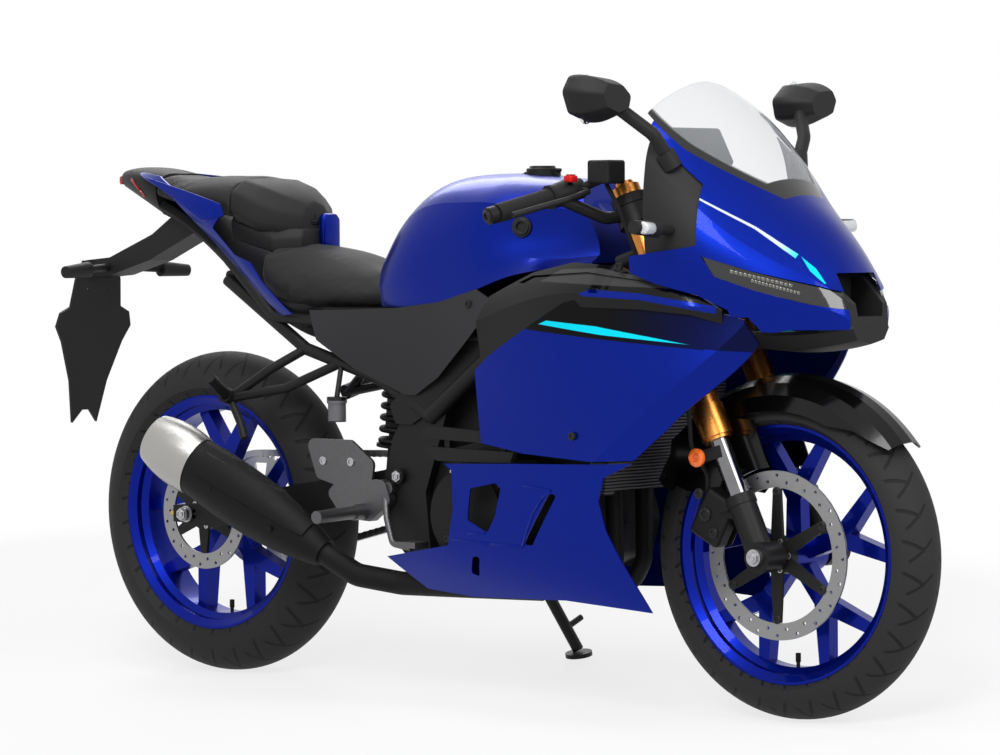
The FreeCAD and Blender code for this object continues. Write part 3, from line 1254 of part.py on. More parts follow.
def fairing_stays():
    """Short stays from the frame, engine and radiator out to the panels, and the two dark rails of each side."""
    roots = [
        ("frame", "side_fairings", (880, 164.3, 560), (880, 300, 556)),
        ("radiator", "side_fairings", (1112, 164.3, 560), (1118, 300, 556)),
        ("frame", "side_fairings", (1000, 146.3, 690), (1012, 300, 694)),
        ("frame", "side_ducts", (930, 135.3, 745), (940, 300, 752)),
        ("engine", "lower_cowls", (768, 150.3, 262), (770, 300, 262)),
        ("engine", "lower_cowls", (900, 150.3, 400), (904, 300, 425)),
        ("frame", "side_covers", (660, 142.3, 604), (660, 300, 604)),
        ("frame", "side_covers", (420, 123.3, 690), (420, 300, 672)),
    ]
    bars = []
    for carrier, panel, a, b in roots:
        for side in (-1, 1):
            start, end = Vector(a[0], side * (a[1] - 8), a[2]), Vector(b[0], side * b[1], b[2])
            pieces = rod(start, end, 6).cut(made[carrier]).cut(made[panel])
            bars.append(min((p for p in pieces.Solids if p.Volume > 100), key=lambda p: abs(p.CenterOfMass.y)))
    upper = side_plate([(684, 500), (700, 508), (903, 498), (906, 478), (700, 485), (686, 488)], -212, -198)
    lower = side_plate([(686, 462), (700, 470), (904, 466), (896, 446), (722, 445)], -212, -198)
    posts = [rod((x, -100, 455), (x, -204, 455), 7) for x in (740, 872)]
    links = [block(x - 6, x + 6, -204, -198, 450, 495) for x in (740, 872)]
    rails = fuse([upper, lower] + posts + links).cut(made["engine"])
    for other in ("side_fairings", "lower_cowls"):
        rails = rails.cut(made[other])
    rails = largest(rails)
    keep("fairing_stays", Part.makeCompound(bars + [rails, mirrored(rails)]))


def build():
    wheels()
    swingarm()
    rear_axle()
    pivot_bolt()
    chain()
    rear_shock()
    frame()
    engine()
    exhaust()
    muffler()
    radiator()
    yokes()
    fork_legs()
    front_axle()
    front_caliper()
    handlebars()
    front_fender()
    brake_hose()
    keep("side_fairings", both(side_fairing()))
    stand_bay = side_plate([(500, 150), (724, 150), (738, 330), (500, 330)], 60, 400)
    keep("lower_cowls", both(lower_cowl()).cut(made["engine"]).cut(stand_bay))
    keep("side_ducts", both(side_duct()).cut(made["side_fairings"]))
    keep("side_covers", both(side_cover()).cut(made["frame"]))
    mirrors()
    nose_intake()
    tail_centre()
    keep("tail_cowls", both(tail_cowl()).cut(made["tail_centre"]))
    plate_holder()
    indicators()
    front_cowl()
    windscreen()
    headlights()
    fuel_tank()
    rider_seat()
    pillion_seat()
    tail_light()
    instrument_panel()
    rider_pegs()
    pillion_pegs()
    rear_brake()
    side_stand()
    fairing_stays()


build()
doc.recompute()
for item in doc.Objects:
    if "Invalid" in item.State or "Error" in item.State:
        raise RuntimeError(f"{item.Label} did not build: {item.State}")
broken = [node.Label for node in nodes if node.Shape.isNull() or not node.Shape.isValid() or not node.Shape.Solids]
if broken:
    raise RuntimeError(f"no valid shape: {broken}")
os.makedirs("parts", exist_ok=True)
for node in nodes:
    node.Shape.exportStep(f"parts/{node.Label}.step")
print(len(nodes), "sub-parts")
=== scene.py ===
import json
import math

import bmesh
import bpy
from mathutils import Matrix, Vector


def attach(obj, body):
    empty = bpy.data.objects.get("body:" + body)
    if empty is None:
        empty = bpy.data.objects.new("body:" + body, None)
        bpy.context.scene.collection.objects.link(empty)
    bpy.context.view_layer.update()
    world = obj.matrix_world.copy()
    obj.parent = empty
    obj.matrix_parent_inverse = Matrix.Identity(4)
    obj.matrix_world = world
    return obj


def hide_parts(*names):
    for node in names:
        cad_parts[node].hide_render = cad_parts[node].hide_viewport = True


bl_info = {
    "name": "Sport Bike Dressing",
    "version": (1, 0, 0),
    "blender": (4, 5, 0),
    "location": "View3D > Sidebar > Sport Bike",
    "description": "Dresses the packed sport bike with its finishes, seats, lamps and small fittings",
    "category": "Object",
}

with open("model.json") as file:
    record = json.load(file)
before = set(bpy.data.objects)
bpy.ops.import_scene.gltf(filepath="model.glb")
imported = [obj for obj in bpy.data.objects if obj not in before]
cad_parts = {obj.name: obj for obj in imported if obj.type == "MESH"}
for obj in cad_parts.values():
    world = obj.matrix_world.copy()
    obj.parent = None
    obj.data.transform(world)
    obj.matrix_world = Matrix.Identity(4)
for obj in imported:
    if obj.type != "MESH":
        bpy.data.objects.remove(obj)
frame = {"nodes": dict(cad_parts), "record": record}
NODES = frame["nodes"]
JOINTS = {joint["name"]: joint for joint in frame["record"]["behaviour"]["joints"]}
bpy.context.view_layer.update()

# The upright bike's frame: X forward, Y to the rider's left, Z up, in metres, from under the rear axle.
WHEELBASE = 1.380
FRONT_RADIUS, FRONT_HALF_WIDTH = 0.293, 0.055
REAR_RADIUS, REAR_HALF_WIDTH = 0.314, 0.070
FRONT_AXLE = Vector((WHEELBASE, 0, FRONT_RADIUS))
REAR_AXLE = Vector((0, 0, REAR_RADIUS))
RIGHT, LEFT = Vector((0, -1, 0)), Vector((0, 1, 0))

# The parked bike leans onto its stand, so its rear axle points down on the left by the lean.
rear_spin = JOINTS["rear_wheel_spin"]
LEAN = math.atan2(-rear_spin["axis"][2], rear_spin["axis"][1])
TURN = Matrix.Rotation(-LEAN, 4, "X")
SHIFT = Vector(rear_spin["pos_m"]) - TURN @ REAR_AXLE
PARK = Matrix.Translation(SHIFT) @ TURN


def mm(x, y, z):
    """A point of the upright bike, from millimetres."""
    return Vector((x, y, z)) / 1000


# Shader maths


class Value:
    """A float socket that takes part in expressions."""

    def __init__(self, finish, socket):
        self.finish = finish
        self.socket = socket

    def __add__(self, other):
        return self.finish.maths("ADD", self, other)

    def __sub__(self, other):
        return self.finish.maths("SUBTRACT", self, other)

    def __rsub__(self, other):
        return self.finish.maths("SUBTRACT", other, self)

    def __mul__(self, other):
        return self.finish.maths("MULTIPLY", self, other)

    def __truediv__(self, other):
        return self.finish.maths("DIVIDE", self, other)

    __radd__, __rmul__ = __add__, __mul__


class Finish:
    """A material under construction, built on one Principled shader."""

    def __init__(self, name, **values):
        self.material = bpy.data.materials.new(name)
        self.material.use_nodes = True
        self.tree = self.material.node_tree
        self.shader = self.tree.nodes["Principled BSDF"]
        self.set(**values)

    def node(self, kind, settings=None, inputs=None):
        """A new node with its settings, and its inputs fed from numbers, colours or sockets."""
        made = self.tree.nodes.new(kind)
        for key, value in (settings or {}).items():
            setattr(made, key, value)
        for key, value in (inputs or {}).items():
            self.feed(made.inputs[key], value)
        return made

    def feed(self, socket, value):
        """Links a socket or sets a value; a colour of three numbers gets its alpha."""
        if isinstance(value, Value):
            value = value.socket
        if isinstance(value, bpy.types.NodeSocket):
            self.tree.links.new(value, socket)
        elif hasattr(value, "__len__") and len(value) == 3 and len(socket.default_value) == 4:
            socket.default_value = (*value, 1)
        else:
            socket.default_value = value

    def set(self, **values):
        """Feeds the shader's inputs by their names in small letters."""
        for key, value in values.items():
            self.feed(self.shader.inputs[key.replace("_", " ").title().replace("Ior", "IOR")], value)

    def maths(self, operation, *values):
        made = self.node("ShaderNodeMath", {"operation": operation}, dict(enumerate(values)))
        return Value(self, made.outputs[0])

    def most(self, first, *others):
        """The largest of some values, so 1 wherever one of them is 1."""
        for other in others:
            first = self.maths("MAXIMUM", first, other)
        return first

    def smooth(self, value, low, high):
        """0 below low and 1 above high, with a smooth step between; low above high turns it round."""
        made = self.node("ShaderNodeMapRange", {"interpolation_type": "SMOOTHSTEP"},
                         {"Value": value, "From Min": low, "From Max": high})
        return Value(self, made.outputs["Result"])

    def mix(self, factor, first, second):
        made = self.node("ShaderNodeMix", {"data_type": "RGBA"}, {0: factor, 6: first, 7: second})
        return made.outputs[2]

    def place(self):
        """The point in the upright bike's frame, in metres."""
        coordinates = self.node("ShaderNodeTexCoord").outputs["Object"]
        mapping = self.node("ShaderNodeMapping", {"vector_type": "TEXTURE"},
                            {"Vector": coordinates, "Location": SHIFT, "Rotation": (-LEAN, 0, 0)})
        return mapping.outputs[0]

    def axes(self):
        """The point's x, y and z, each a value."""
        parts = self.node("ShaderNodeSeparateXYZ", None, {0: self.place()})
        return [Value(self, output) for output in parts.outputs]

    def noise(self, scale, detail, vector=None):
        inputs = {"Vector": vector or self.place(), "Scale": scale, "Detail": detail, "Roughness": 0.55}
        return Value(self, self.node("ShaderNodeTexNoise", None, inputs).outputs["Fac"])

    def cells(self, scale):
        made = self.node("ShaderNodeTexVoronoi", None, {"Vector": self.place(), "Scale": scale})
        return Value(self, made.outputs["Distance"])

    def bump(self, height, distance, strength=1.0):
        inputs = {"Height": height, "Distance": distance, "Strength": strength}
        self.set(normal=self.node("ShaderNodeBump", None, inputs).outputs[0])

    def inside(self, across, up, corners, soft=0.0012):
        """1 within a convex outline of (x, z) millimetre corners, in either order, with a soft edge."""
        sides = list(zip(corners, corners[1:] + corners[:1]))
        area = sum(a[0] * b[1] - b[0] * a[1] for a, b in sides)
        sign = 1 if area > 0 else -1
        least = None
        for a, b in sides:
            length = math.hypot(b[0] - a[0], b[1] - a[1])
            nx, nz = -(b[1] - a[1]) / length * sign, (b[0] - a[0]) / length * sign
            distance = across * nx + up * nz - (a[0] * nx + a[1] * nz) / 1000
            least = distance if least is None else self.maths("MINIMUM", least, distance)
        return self.smooth(least, -soft / 2, soft / 2)


# Finishes

BLUE = (0.0001, 0.013, 0.26)
WHEEL_BLUE = (0.0002, 0.010, 0.26)
CYAN = (0.0, 0.70, 0.90)
PALE = (0.62, 0.70, 0.80)
BLACK = (0.003, 0.003, 0.0035)
SATIN = (0.009, 0.009, 0.0095)
PAINT_METALLIC = 0.8
SATIN_SPECULAR = 0.22
TREAD_SLITS = 30

# Outlines of decals, panes and a painted highlight, each a list of (x, z) corners in millimetres.
SIDE_FIELD = [(972, 690), (1010, 686), (1400, 650), (1400, 800), (1000, 800), (990, 712)]
SIDE_FIELD_FOOT = [(940, 690), (974, 686), (1121, 672), (1325, 655), (1321, 668), (1000, 712)]
SIDE_LINE = [(972, 693), (1002, 704), (1120, 694), (1220, 677), (1322, 660.5), (1221, 667), (1121, 680)]
COWL_LINE = [
    [(1288, 928), (1387, 869), (1387, 865), (1287, 926)],
    [(1387, 869), (1455, 821), (1454, 814), (1387, 865)],
    [(1455, 821), (1483, 796), (1502, 770), (1494, 770), (1478, 792), (1454, 815.5)],
]
# Outline of the painted highlight on the duct, a lighter grey patch.
DUCT_HIGHLIGHT_PATCH = [(960, 773), (1010, 795), (1102, 797), (1200, 781), (1266, 761), (1090, 768)]
DUCT_BLUE = [
    [(1072, 752), (1095, 760), (1201, 753), (1201, 742), (1080, 748)],
    [(1201, 753), (1340, 731), (1340, 718), (1201, 742)],
    [(846, 643), (976, 702), (1042, 736), (1062, 700), (930, 560), (846, 560)],
]
SCREEN_PANE = [(1160, 1160), (1160, 1092), (1262, 1014), (1366, 944), (1400, 1000), (1260, 1180)]
RESERVOIR = [(402, 507), (441, 507), (441, 545), (402, 545)]


def shades(colour, dark, light):
    """A darker and a lighter shade of a colour."""
    return [c * dark for c in colour], [c * light for c in colour]


def wheel_place(f, axle_x, radius):
    """Distance from a wheel's axle, angle about it, and the place across the wheel."""
    x, y, z = f.axes()
    x = x - axle_x
    z = z - radius
    return f.maths("SQRT", x * x + z * z), f.maths("ARCTAN2", z, x), y


def tread_slits(f, turn, side, width, inner, outer):
    """Slits at each whole turn; width, inner and outer are pairs of values that edges fade between."""
    saw = f.maths("ABSOLUTE", f.maths("FRACT", turn) - 0.5)
    return f.smooth(saw, *width) * f.smooth(side, *inner) * f.smooth(side, *outer)


def tyre_finish(name, axle_x, radius, half_width):
    """Black rubber with slanted tread slits over the crown, painted darker as painted shade in the grooves,
    and fine rings on the walls.
    """
    f = Finish(name, metallic=0.0, specular_ior_level=0.25)
    reach, angle, y = wheel_place(f, axle_x, radius)
    side = f.maths("ABSOLUTE", y) / half_width
    step = angle * (TREAD_SLITS / math.tau)
    long_turn = step + side * 0.9 + f.maths("SIGN", y) * 0.25
    long_slits = tread_slits(f, long_turn, side, (0.060, 0.040), (0.12, 0.16), (0.86, 0.80))
    short_turn = step - side * 0.7 + 0.5
    short_slits = tread_slits(f, short_turn, side, (0.065, 0.045), (0.42, 0.46), (0.95, 0.9))
    slits = f.most(long_slits, short_slits)
    rings = f.maths("SINE", reach * 1400) * f.smooth(reach, radius * 0.88, radius * 0.84)
    grain = f.noise(260, 2)
    rubber = f.mix(grain, (0.012, 0.012, 0.0125), (0.022, 0.022, 0.023))
    # The slits are painted near black: painted shade in the grooves of the same rubber.
    f.set(base_color=f.mix(slits, rubber, (0.003, 0.003, 0.003)), roughness=0.62 + 0.2 * grain)
    f.bump(0.12 * grain + 0.05 * rings - slits, 0.0022)
    return f.material


def paint_finish(name, colour, decals=None):
    """Gloss paint under lacquer, with fine flake, a soft waviness and what decals adds to its shade."""
    f = Finish(name, metallic=PAINT_METALLIC, coat_weight=0.22, coat_roughness=0.04, coat_ior=1.35,
               specular_ior_level=0.1)
    dark, light = shades(colour, 0.8, 1.25)
    shade = f.mix(f.smooth(f.cells(2600), 0.0, 0.6), light, dark)
    if decals:
        shade = decals(f, shade)
    f.set(base_color=shade, roughness=0.30 + 0.08 * f.noise(30, 2))
    f.bump(f.noise(7, 2), 0.0006, 0.35)
    return f.material


def side_decals(f, shade):
    """Black field that turns to dark blue towards the front, over a cyan line that thins to a point."""
    x, _, z = f.axes()
    field = f.most(f.inside(x, z, SIDE_FIELD), f.inside(x, z, SIDE_FIELD_FOOT))
    line = f.inside(x, z, SIDE_LINE)
    tone = f.mix(f.smooth(x, 1.12, 1.34), BLACK, [c * 0.16 for c in BLUE])
    f.set(metallic=PAINT_METALLIC - PAINT_METALLIC * line)
    return f.mix(line, f.mix(field, shade, tone), CYAN)


def cowl_decals(f, shade):
    """Thin white line that turns cyan and widens as it falls towards the intake, on both sides."""
    x, y, z = f.axes()
    line = f.most(*(f.inside(x, z, part, 0.001) for part in COWL_LINE))
    line = line * f.smooth(f.maths("ABSOLUTE", y), 0.076, 0.079)
    f.set(metallic=PAINT_METALLIC - PAINT_METALLIC * line)
    return f.mix(line, shade, f.mix(f.smooth(x, 1.42, 1.46), PALE, CYAN))


def metal_finish(name, colour, rough, streak=None, metallic=1.0, depth=0.0002, scale=40):
    """Metal brushed along an axis of the bike, or an even satin; rough is its least and most."""
    f = Finish(name, metallic=metallic, specular_ior_level=SATIN_SPECULAR)
    vector = f.place()
    if streak:
        vector = f.node("ShaderNodeMapping", None, {"Vector": vector, "Scale": streak}).outputs[0]
    grain = f.noise(scale, 5, vector)
    least, most = rough
    f.set(base_color=f.mix(grain, *shades(colour, 0.82, 1.12)), roughness=least + (most - least) * grain)
    f.bump(grain, depth)
    return f.material


def disc_finish(name, axle_x, radius):
    """Ground steel with fine rings about the axle."""
    f = Finish(name, metallic=1.0)
    reach, _, _ = wheel_place(f, axle_x, radius)
    rings = 0.5 + 0.5 * f.maths("SINE", reach * 9000 + 14 * f.noise(60, 2))
    f.set(base_color=f.mix(rings, (0.21, 0.21, 0.213), (0.33, 0.33, 0.333)), roughness=0.30 + 0.14 * rings)
    f.bump(rings, 0.00004)
    return f.material


def plastic_finish(name, colour, rough, grain=900, depth=0.00012, **coat):
    """Moulded plastic with a fine stippled grain."""
    f = Finish(name, metallic=0.0, specular_ior_level=SATIN_SPECULAR, **coat)
    wide = f.noise(12, 4)
    f.set(base_color=f.mix(wide, *shades(colour, 0.8, 1.25)), roughness=rough + 0.1 * wide)
    f.bump(f.cells(grain), depth)
    return f.material


def seat_finish(name):
    """Black seat cover with a fine pebble grain."""
    f = Finish(name, metallic=0.0, specular_ior_level=0.2, sheen_weight=0.1)
    wide = f.noise(9, 4)
    shade = f.mix(wide, (0.007, 0.007, 0.0075), (0.015, 0.015, 0.0155))
    f.set(base_color=shade, roughness=0.55 + 0.14 * wide)
    f.bump(f.cells(620) + 0.4 * wide, 0.0004)
    return f.material


def radiator_finish(name):
    """Dark core with fine horizontal fins, with painted shade in the gaps between them and painted light
    along their edges.
    """
    f = Finish(name, metallic=0.7)
    pitch = 0.0058
    fins = 0.5 + 0.5 * f.maths("SINE", f.axes()[2] * (math.tau / pitch))
    # Painted shade in the gaps between the fins and painted light on their raised edges.
    f.set(base_color=f.mix(fins, (0.008, 0.008, 0.009), (0.16, 0.16, 0.165)), roughness=0.45 + 0.1 * fins)
    f.bump(fins, 0.0016)
    return f.material


def screen_finish(name):
    """Clear screen, a little denser towards its edges, with the black garnish along its foot."""
    f = Finish(name, metallic=0.0, specular_ior_level=0.6)
    x, _, z = f.axes()
    view = f.inside(x, z, SCREEN_PANE, 0.003)
    f.set(base_color=f.mix(view, BLACK, (0.50, 0.52, 0.55)))
    rim = Value(f, f.node("ShaderNodeLayerWeight", None, {"Blend": 0.25}).outputs["Facing"])
    f.set(alpha=f.most(1 - view, 0.14 + 0.40 * rim), roughness=0.02 + 0.03 * f.noise(8, 2))
    return f.material


def duct_finish(name):
    """Gloss black panel with a painted highlight, a lighter and rougher grey patch, and its blue strip and
    its blue foot.
    """
    f = Finish(name, metallic=0.0, coat_weight=0.2, coat_roughness=0.03, specular_ior_level=0.12)
    x, _, z = f.axes()
    # Painted highlight: this patch is painted lighter grey and made rougher.
    highlight_patch = f.inside(x, z, DUCT_HIGHLIGHT_PATCH, 0.002)
    blue = f.most(*(f.inside(x, z, part) for part in DUCT_BLUE))
    shade = f.mix(highlight_patch, BLACK, (0.045, 0.045, 0.047))
    f.set(base_color=f.mix(blue, shade, BLUE), metallic=PAINT_METALLIC * blue, roughness=0.12 + 0.25 * highlight_patch)
    f.bump(f.noise(40, 2), 0.00003)
    return f.material


def brake_finish(name):
    """Satin black brake parts, with the grey body of the fluid reservoir."""
    f = Finish(name, metallic=0.2, specular_ior_level=0.4)
    x, _, z = f.axes()
    cup = f.inside(x, z, RESERVOIR, 0.001)
    grain = f.noise(90, 3)
    f.set(base_color=f.mix(cup, BLACK, (0.13, 0.13, 0.135)), roughness=0.35 + 0.2 * grain)
    f.bump(grain, 0.0002)
    return f.material


def led_finish(name, colour, strength):
    """A lens with a faint, uneven painted glow."""
    f = Finish(name, metallic=0.0, roughness=0.15, coat_weight=1.0)
    grain = f.noise(300, 2)
    f.set(base_color=f.mix(grain, [c * 0.7 for c in colour], colour))
    # Painted glow: the lens gives off a little light of its own.
    f.set(emission_color=f.mix(grain, [c * 0.5 for c in colour], colour), emission_strength=strength)
    return f.material


FINISHES = {}


def make_finishes():
    """Makes every finish of the bike, under the word by which nodes and pieces ask for it."""
    FINISHES.update(
        front_tyre=tyre_finish("front_tyre_rubber", WHEELBASE, FRONT_RADIUS, FRONT_HALF_WIDTH),
        rear_tyre=tyre_finish("rear_tyre_rubber", 0.0, REAR_RADIUS, REAR_HALF_WIDTH),
        front_disc=disc_finish("front_disc_steel", WHEELBASE, FRONT_RADIUS),
        rear_disc=disc_finish("rear_disc_steel", 0.0, REAR_RADIUS),
        wheel=paint_finish("wheel_blue", WHEEL_BLUE),
        panel=paint_finish("panel_blue", BLUE),
        side_panel=paint_finish("side_panel_blue", BLUE, side_decals),
        cowl=paint_finish("cowl_blue", BLUE, cowl_decals),
        duct=duct_finish("duct_black"),
        seat=seat_finish("seat_cover"),
        fins=radiator_finish("radiator_core"),
        screen=screen_finish("clear_screen"),
        brake=brake_finish("brake_black"),
        # The lamp bars and the gauge face both get a faint painted glow.
        led=led_finish("led_lens", (0.12, 0.115, 0.10), 0.04),
        screen_face=led_finish("gauge_face", (0.05, 0.07, 0.09), 0.2),
    )
    FINISHES.update(
        steel=metal_finish("ground_steel", (0.40, 0.40, 0.41), (0.25, 0.45)),
        brushed=metal_finish("brushed_sleeve", (0.40, 0.395, 0.38), (0.22, 0.42), streak=(6, 200, 6)),
        chrome=metal_finish("dark_chrome", (0.22, 0.22, 0.23), (0.05, 0.12), depth=0.00003),
        gold=metal_finish("gold_tube", (0.56, 0.22, 0.05), (0.22, 0.36), streak=(2, 2, 60), depth=0.00006),
        silver=metal_finish("silver_casting", (0.12, 0.12, 0.124), (0.32, 0.5), metallic=0.95, depth=0.0004,
                            scale=180),
        satin_black=metal_finish("satin_black_metal", SATIN, (0.38, 0.55), metallic=0.2, scale=60),
        frame_black=metal_finish("frame_black", SATIN, (0.42, 0.6), metallic=0.2, depth=0.0004, scale=150),
        cast_black=metal_finish("cast_engine_black", (0.010, 0.010, 0.0105), (0.45, 0.65), metallic=0.35,
                                depth=0.0006, scale=220),
        exhaust=metal_finish("exhaust_black", (0.004, 0.004, 0.004), (0.5, 0.7), metallic=0.3, depth=0.0003,
                             scale=90),
        bolt=metal_finish("bolt_steel", (0.45, 0.45, 0.46), (0.22, 0.36), depth=0.00005, scale=90),
        black_bolt=metal_finish("bolt_black", (0.02, 0.02, 0.021), (0.3, 0.45), metallic=0.3, depth=0.00005,
                                scale=90),
        brass=metal_finish("brass_tip", (0.55, 0.36, 0.12), (0.25, 0.4), depth=0.00005, scale=90),
        mirror=metal_finish("mirror_glass", (0.8, 0.82, 0.84), (0.01, 0.03), depth=0.00001),
    )
    FINISHES.update(
        rubber=plastic_finish("soft_rubber", (0.010, 0.010, 0.010), 0.7, 500, 0.0003),
        plastic=plastic_finish("grained_plastic", SATIN, 0.5),
        dark_cover=plastic_finish("dark_cover_plastic", (0.017, 0.017, 0.019), 0.42, 700, 0.0001),
        gloss=plastic_finish("gloss_black_plastic", (0.002, 0.002, 0.002), 0.1, 40, 0.00002, coat_weight=0.08,
                             coat_roughness=0.03),
        lamp=plastic_finish("dark_lamp_cover", (0.006, 0.006, 0.007), 0.06, 30, 0.00002, coat_weight=1.0),
        red=plastic_finish("red_lens", (0.35, 0.004, 0.008), 0.15, 120, 0.0003, coat_weight=1.0),
        amber=plastic_finish("amber_lens", (0.85, 0.16, 0.01), 0.18, 240, 0.0005, coat_weight=1.0),
        clear=plastic_finish("clear_lens", (0.55, 0.56, 0.57), 0.12, 240, 0.0005, coat_weight=1.0),
        scarlet=plastic_finish("scarlet_switch", (0.6, 0.01, 0.01), 0.35, 300, 0.00005),
    )


FINISH_NODES = {
    "front_tyre": "front_tyre",
    "rear_tyre": "rear_tyre",
    "wheel": "front_rim rear_rim",
    "front_disc": "front_disc",
    "rear_disc": "rear_disc",
    "satin_black": "front_disc_carrier rear_disc_carrier pivot_bolt rear_shock fork_feet "
                   "front_caliper handlebars fuel_cap side_stand fairing_stays",
    "steel": "rear_sprocket rear_axle chain front_axle",
    "frame_black": "swingarm frame fork_yokes pillion_pegs",
    "cast_black": "engine",
    "exhaust": "exhaust_pipe muffler",
    "brushed": "muffler_end_cap",
    "fins": "radiator",
    "gold": "fork_tubes",
    "chrome": "fork_sliders",
    "rubber": "grips brake_hose",
    "plastic": "hand_controls mirrors nose_intake tail_centre "
               "tail_tray plate_holder indicators instrument_panel",
    "gloss": "front_fender",
    "side_panel": "side_fairings",
    "panel": "lower_cowls tail_cowls fuel_tank",
    "duct": "side_ducts",
    "dark_cover": "side_covers",
    "cowl": "front_cowl",
    "screen": "windscreen",
    "lamp": "headlights",
    "seat": "rider_seat pillion_seat",
    "red": "tail_light",
    "silver": "rider_pegs",
    "brake": "rear_brake",
}
NODE_FINISH = {node: finish for finish, nodes in FINISH_NODES.items() for node in nodes.split()}


# Modelling helpers

# Bevels of round pieces leave edges alone that turn by fewer degrees than this.
ROUND_EDGE = 50
SWELL_FRAMES = 12


def deselect():
    """Leaves edit mode and selects nothing."""
    if bpy.context.mode != "OBJECT":
        bpy.ops.object.mode_set(mode="OBJECT")
    bpy.ops.object.select_all(action="DESELECT")


def take(obj):
    """Makes an object the only one selected."""
    deselect()
    obj.select_set(True)
    bpy.context.view_layer.objects.active = obj
    return obj


def add_block(centre, size, turn=(0, 0, 0)):
    deselect()
    bpy.ops.mesh.primitive_cube_add(size=1, location=centre, rotation=turn, scale=size)
    return bpy.context.active_object


def add_round(start, end, radius, sides=24):
    """A cylinder from start to end."""
    deselect()
    along = end - start
    turn = along.to_track_quat("Z", "Y").to_euler()
    bpy.ops.mesh.primitive_cylinder_add(vertices=sides, radius=radius, depth=along.length,
                                        location=(start + end) / 2, rotation=turn)
    return bpy.context.active_object


def add_bar(start, end, height, depth):
    """A block from start to end, its height along the bike's Z where it can be."""
    along = end - start
    turn = along.to_track_quat("X", "Z").to_euler()
    return add_block((start + end) / 2, (along.length, depth, height), turn)


def twin_of(obj):
    """A copy with its own mesh, in the scene."""
    twin = obj.copy()
    twin.data = obj.data.copy()
    bpy.context.collection.objects.link(twin)
    return twin


def step_top(obj, *steps):
    """Insets the top face by a rim and raises it, or sinks it, once for each (rim, rise) step."""
    take(obj)
    bpy.ops.object.mode_set(mode="EDIT")
    bpy.ops.mesh.select_mode(type="FACE")
    bpy.ops.mesh.select_all(action="DESELECT")
    mesh = bmesh.from_edit_mesh(obj.data)
    for face in mesh.faces:
        face.select = face.normal.z > 0.9
    bmesh.update_edit_mesh(obj.data)
    for rim, rise in steps:
        bpy.ops.mesh.inset(thickness=rim)
        bpy.ops.mesh.extrude_region_shrink_fatten(TRANSFORM_OT_shrink_fatten={"value": rise})
    bpy.ops.object.mode_set(mode="OBJECT")
    return obj


def set_scale(obj):
    """Applies an object's scale, so that bevels come out even."""
    take(obj)
    bpy.ops.object.transform_apply(location=False, rotation=False, scale=True)
    return obj


def set_place(obj):
    """Applies an object's place, turn and scale to its mesh."""
    take(obj)
    bpy.ops.object.transform_apply(location=True, rotation=True, scale=True)


def apply_modifiers(obj):
    """Applies all of an object's modifiers, in order."""
    bpy.context.view_layer.objects.active = obj
    for modifier in list(obj.modifiers):
        bpy.ops.object.modifier_apply(modifier=modifier.name)


def bevel(obj, width, segments=2, angle=35):
    """Rounds the edges that turn by more than an angle, in degrees."""
    take(obj)
    made = obj.modifiers.new("bevel", "BEVEL")
    made.width = width
    made.segments = segments
    made.limit_method = "ANGLE"
    made.angle_limit = math.radians(angle)
    apply_modifiers(obj)
    return obj


def join(objects):
    """Joins pieces into the first of them."""
    take(objects[0])
    for obj in objects[1:]:
        obj.select_set(True)
    if len(objects) > 1:
        bpy.ops.object.join()
    return objects[0]


def give_finish(obj, finish):
    """Makes a finish the only one that an object has."""
    obj.data.materials.clear()
    obj.data.materials.append(FINISHES[finish])


def mirror_pair(obj):
    """Adds the left-hand copy of a right-hand piece, its faces still pointing outwards."""
    set_place(obj)
    twin = twin_of(obj)
    twin.data.transform(Matrix.Scale(-1, 4, (0, 1, 0)))
    twin.data.flip_normals()
    return join([obj, twin])


def settle(obj, name, body, finish, smooth=35):
    """Leans a finished upright piece with the bike, gives it its finish and sets it on its body."""
    set_place(obj)
    obj.data.transform(PARK)
    obj.data.update()
    obj.name = name
    obj.data.name = name
    if smooth:
        bpy.ops.object.shade_smooth_by_angle(angle=math.radians(smooth))
    give_finish(obj, finish)
    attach(obj, body)
    return obj


def scatter(model, places, name, body, finish):
    """Copies a unit piece that points up Z to (point, direction, radius) places and settles them as one."""
    copies = []
    for point, direction, radius in places:
        twin = twin_of(model)
        turn = Vector(direction).to_track_quat("Z", "Y").to_matrix().to_4x4()
        twin.matrix_world = Matrix.Translation(point) @ turn @ Matrix.Scale(radius, 4)
        set_place(twin)
        copies.append(twin)
    bpy.data.objects.remove(model)
    return settle(join(copies), name, body, finish)


def unit_bolt():
    """A socket bolt of radius 1 that stands on its seat."""
    bolt = add_round(Vector((0, 0, -0.2)), Vector((0, 0, 0.7)), 1, 20)
    return bevel(step_top(bolt, (0.45, -0.35)), 0.1, 2, ROUND_EDGE)


def unit_nut():
    """A six-sided nut of radius 1 with a raised, drilled end."""
    nut = add_round(Vector((0, 0, -0.2)), Vector((0, 0, 0.6)), 1, 6)
    return bevel(step_top(nut, (0.28, 0.25), (0.2, -0.2)), 0.06, 2, ROUND_EDGE)


def unit_button():
    """A round bobbin of radius 1 with a raised collar and a hollow middle."""
    button = add_round(Vector((0, 0, -0.2)), Vector((0, 0, 0.25)), 1, 20)
    return bevel(step_top(button, (0.2, 0.15), (0.3, -0.3)), 0.05, 1, ROUND_EDGE)


def ring_places(centre, radius, count, out, direction, size, turn=0.0):
    """Places round a circle that stands across the bike, out to one side."""
    angles = [math.tau * step / count + turn for step in range(count)]
    return [(centre + Vector((radius * math.cos(angle), out, radius * math.sin(angle))), direction, size)
            for angle in angles]


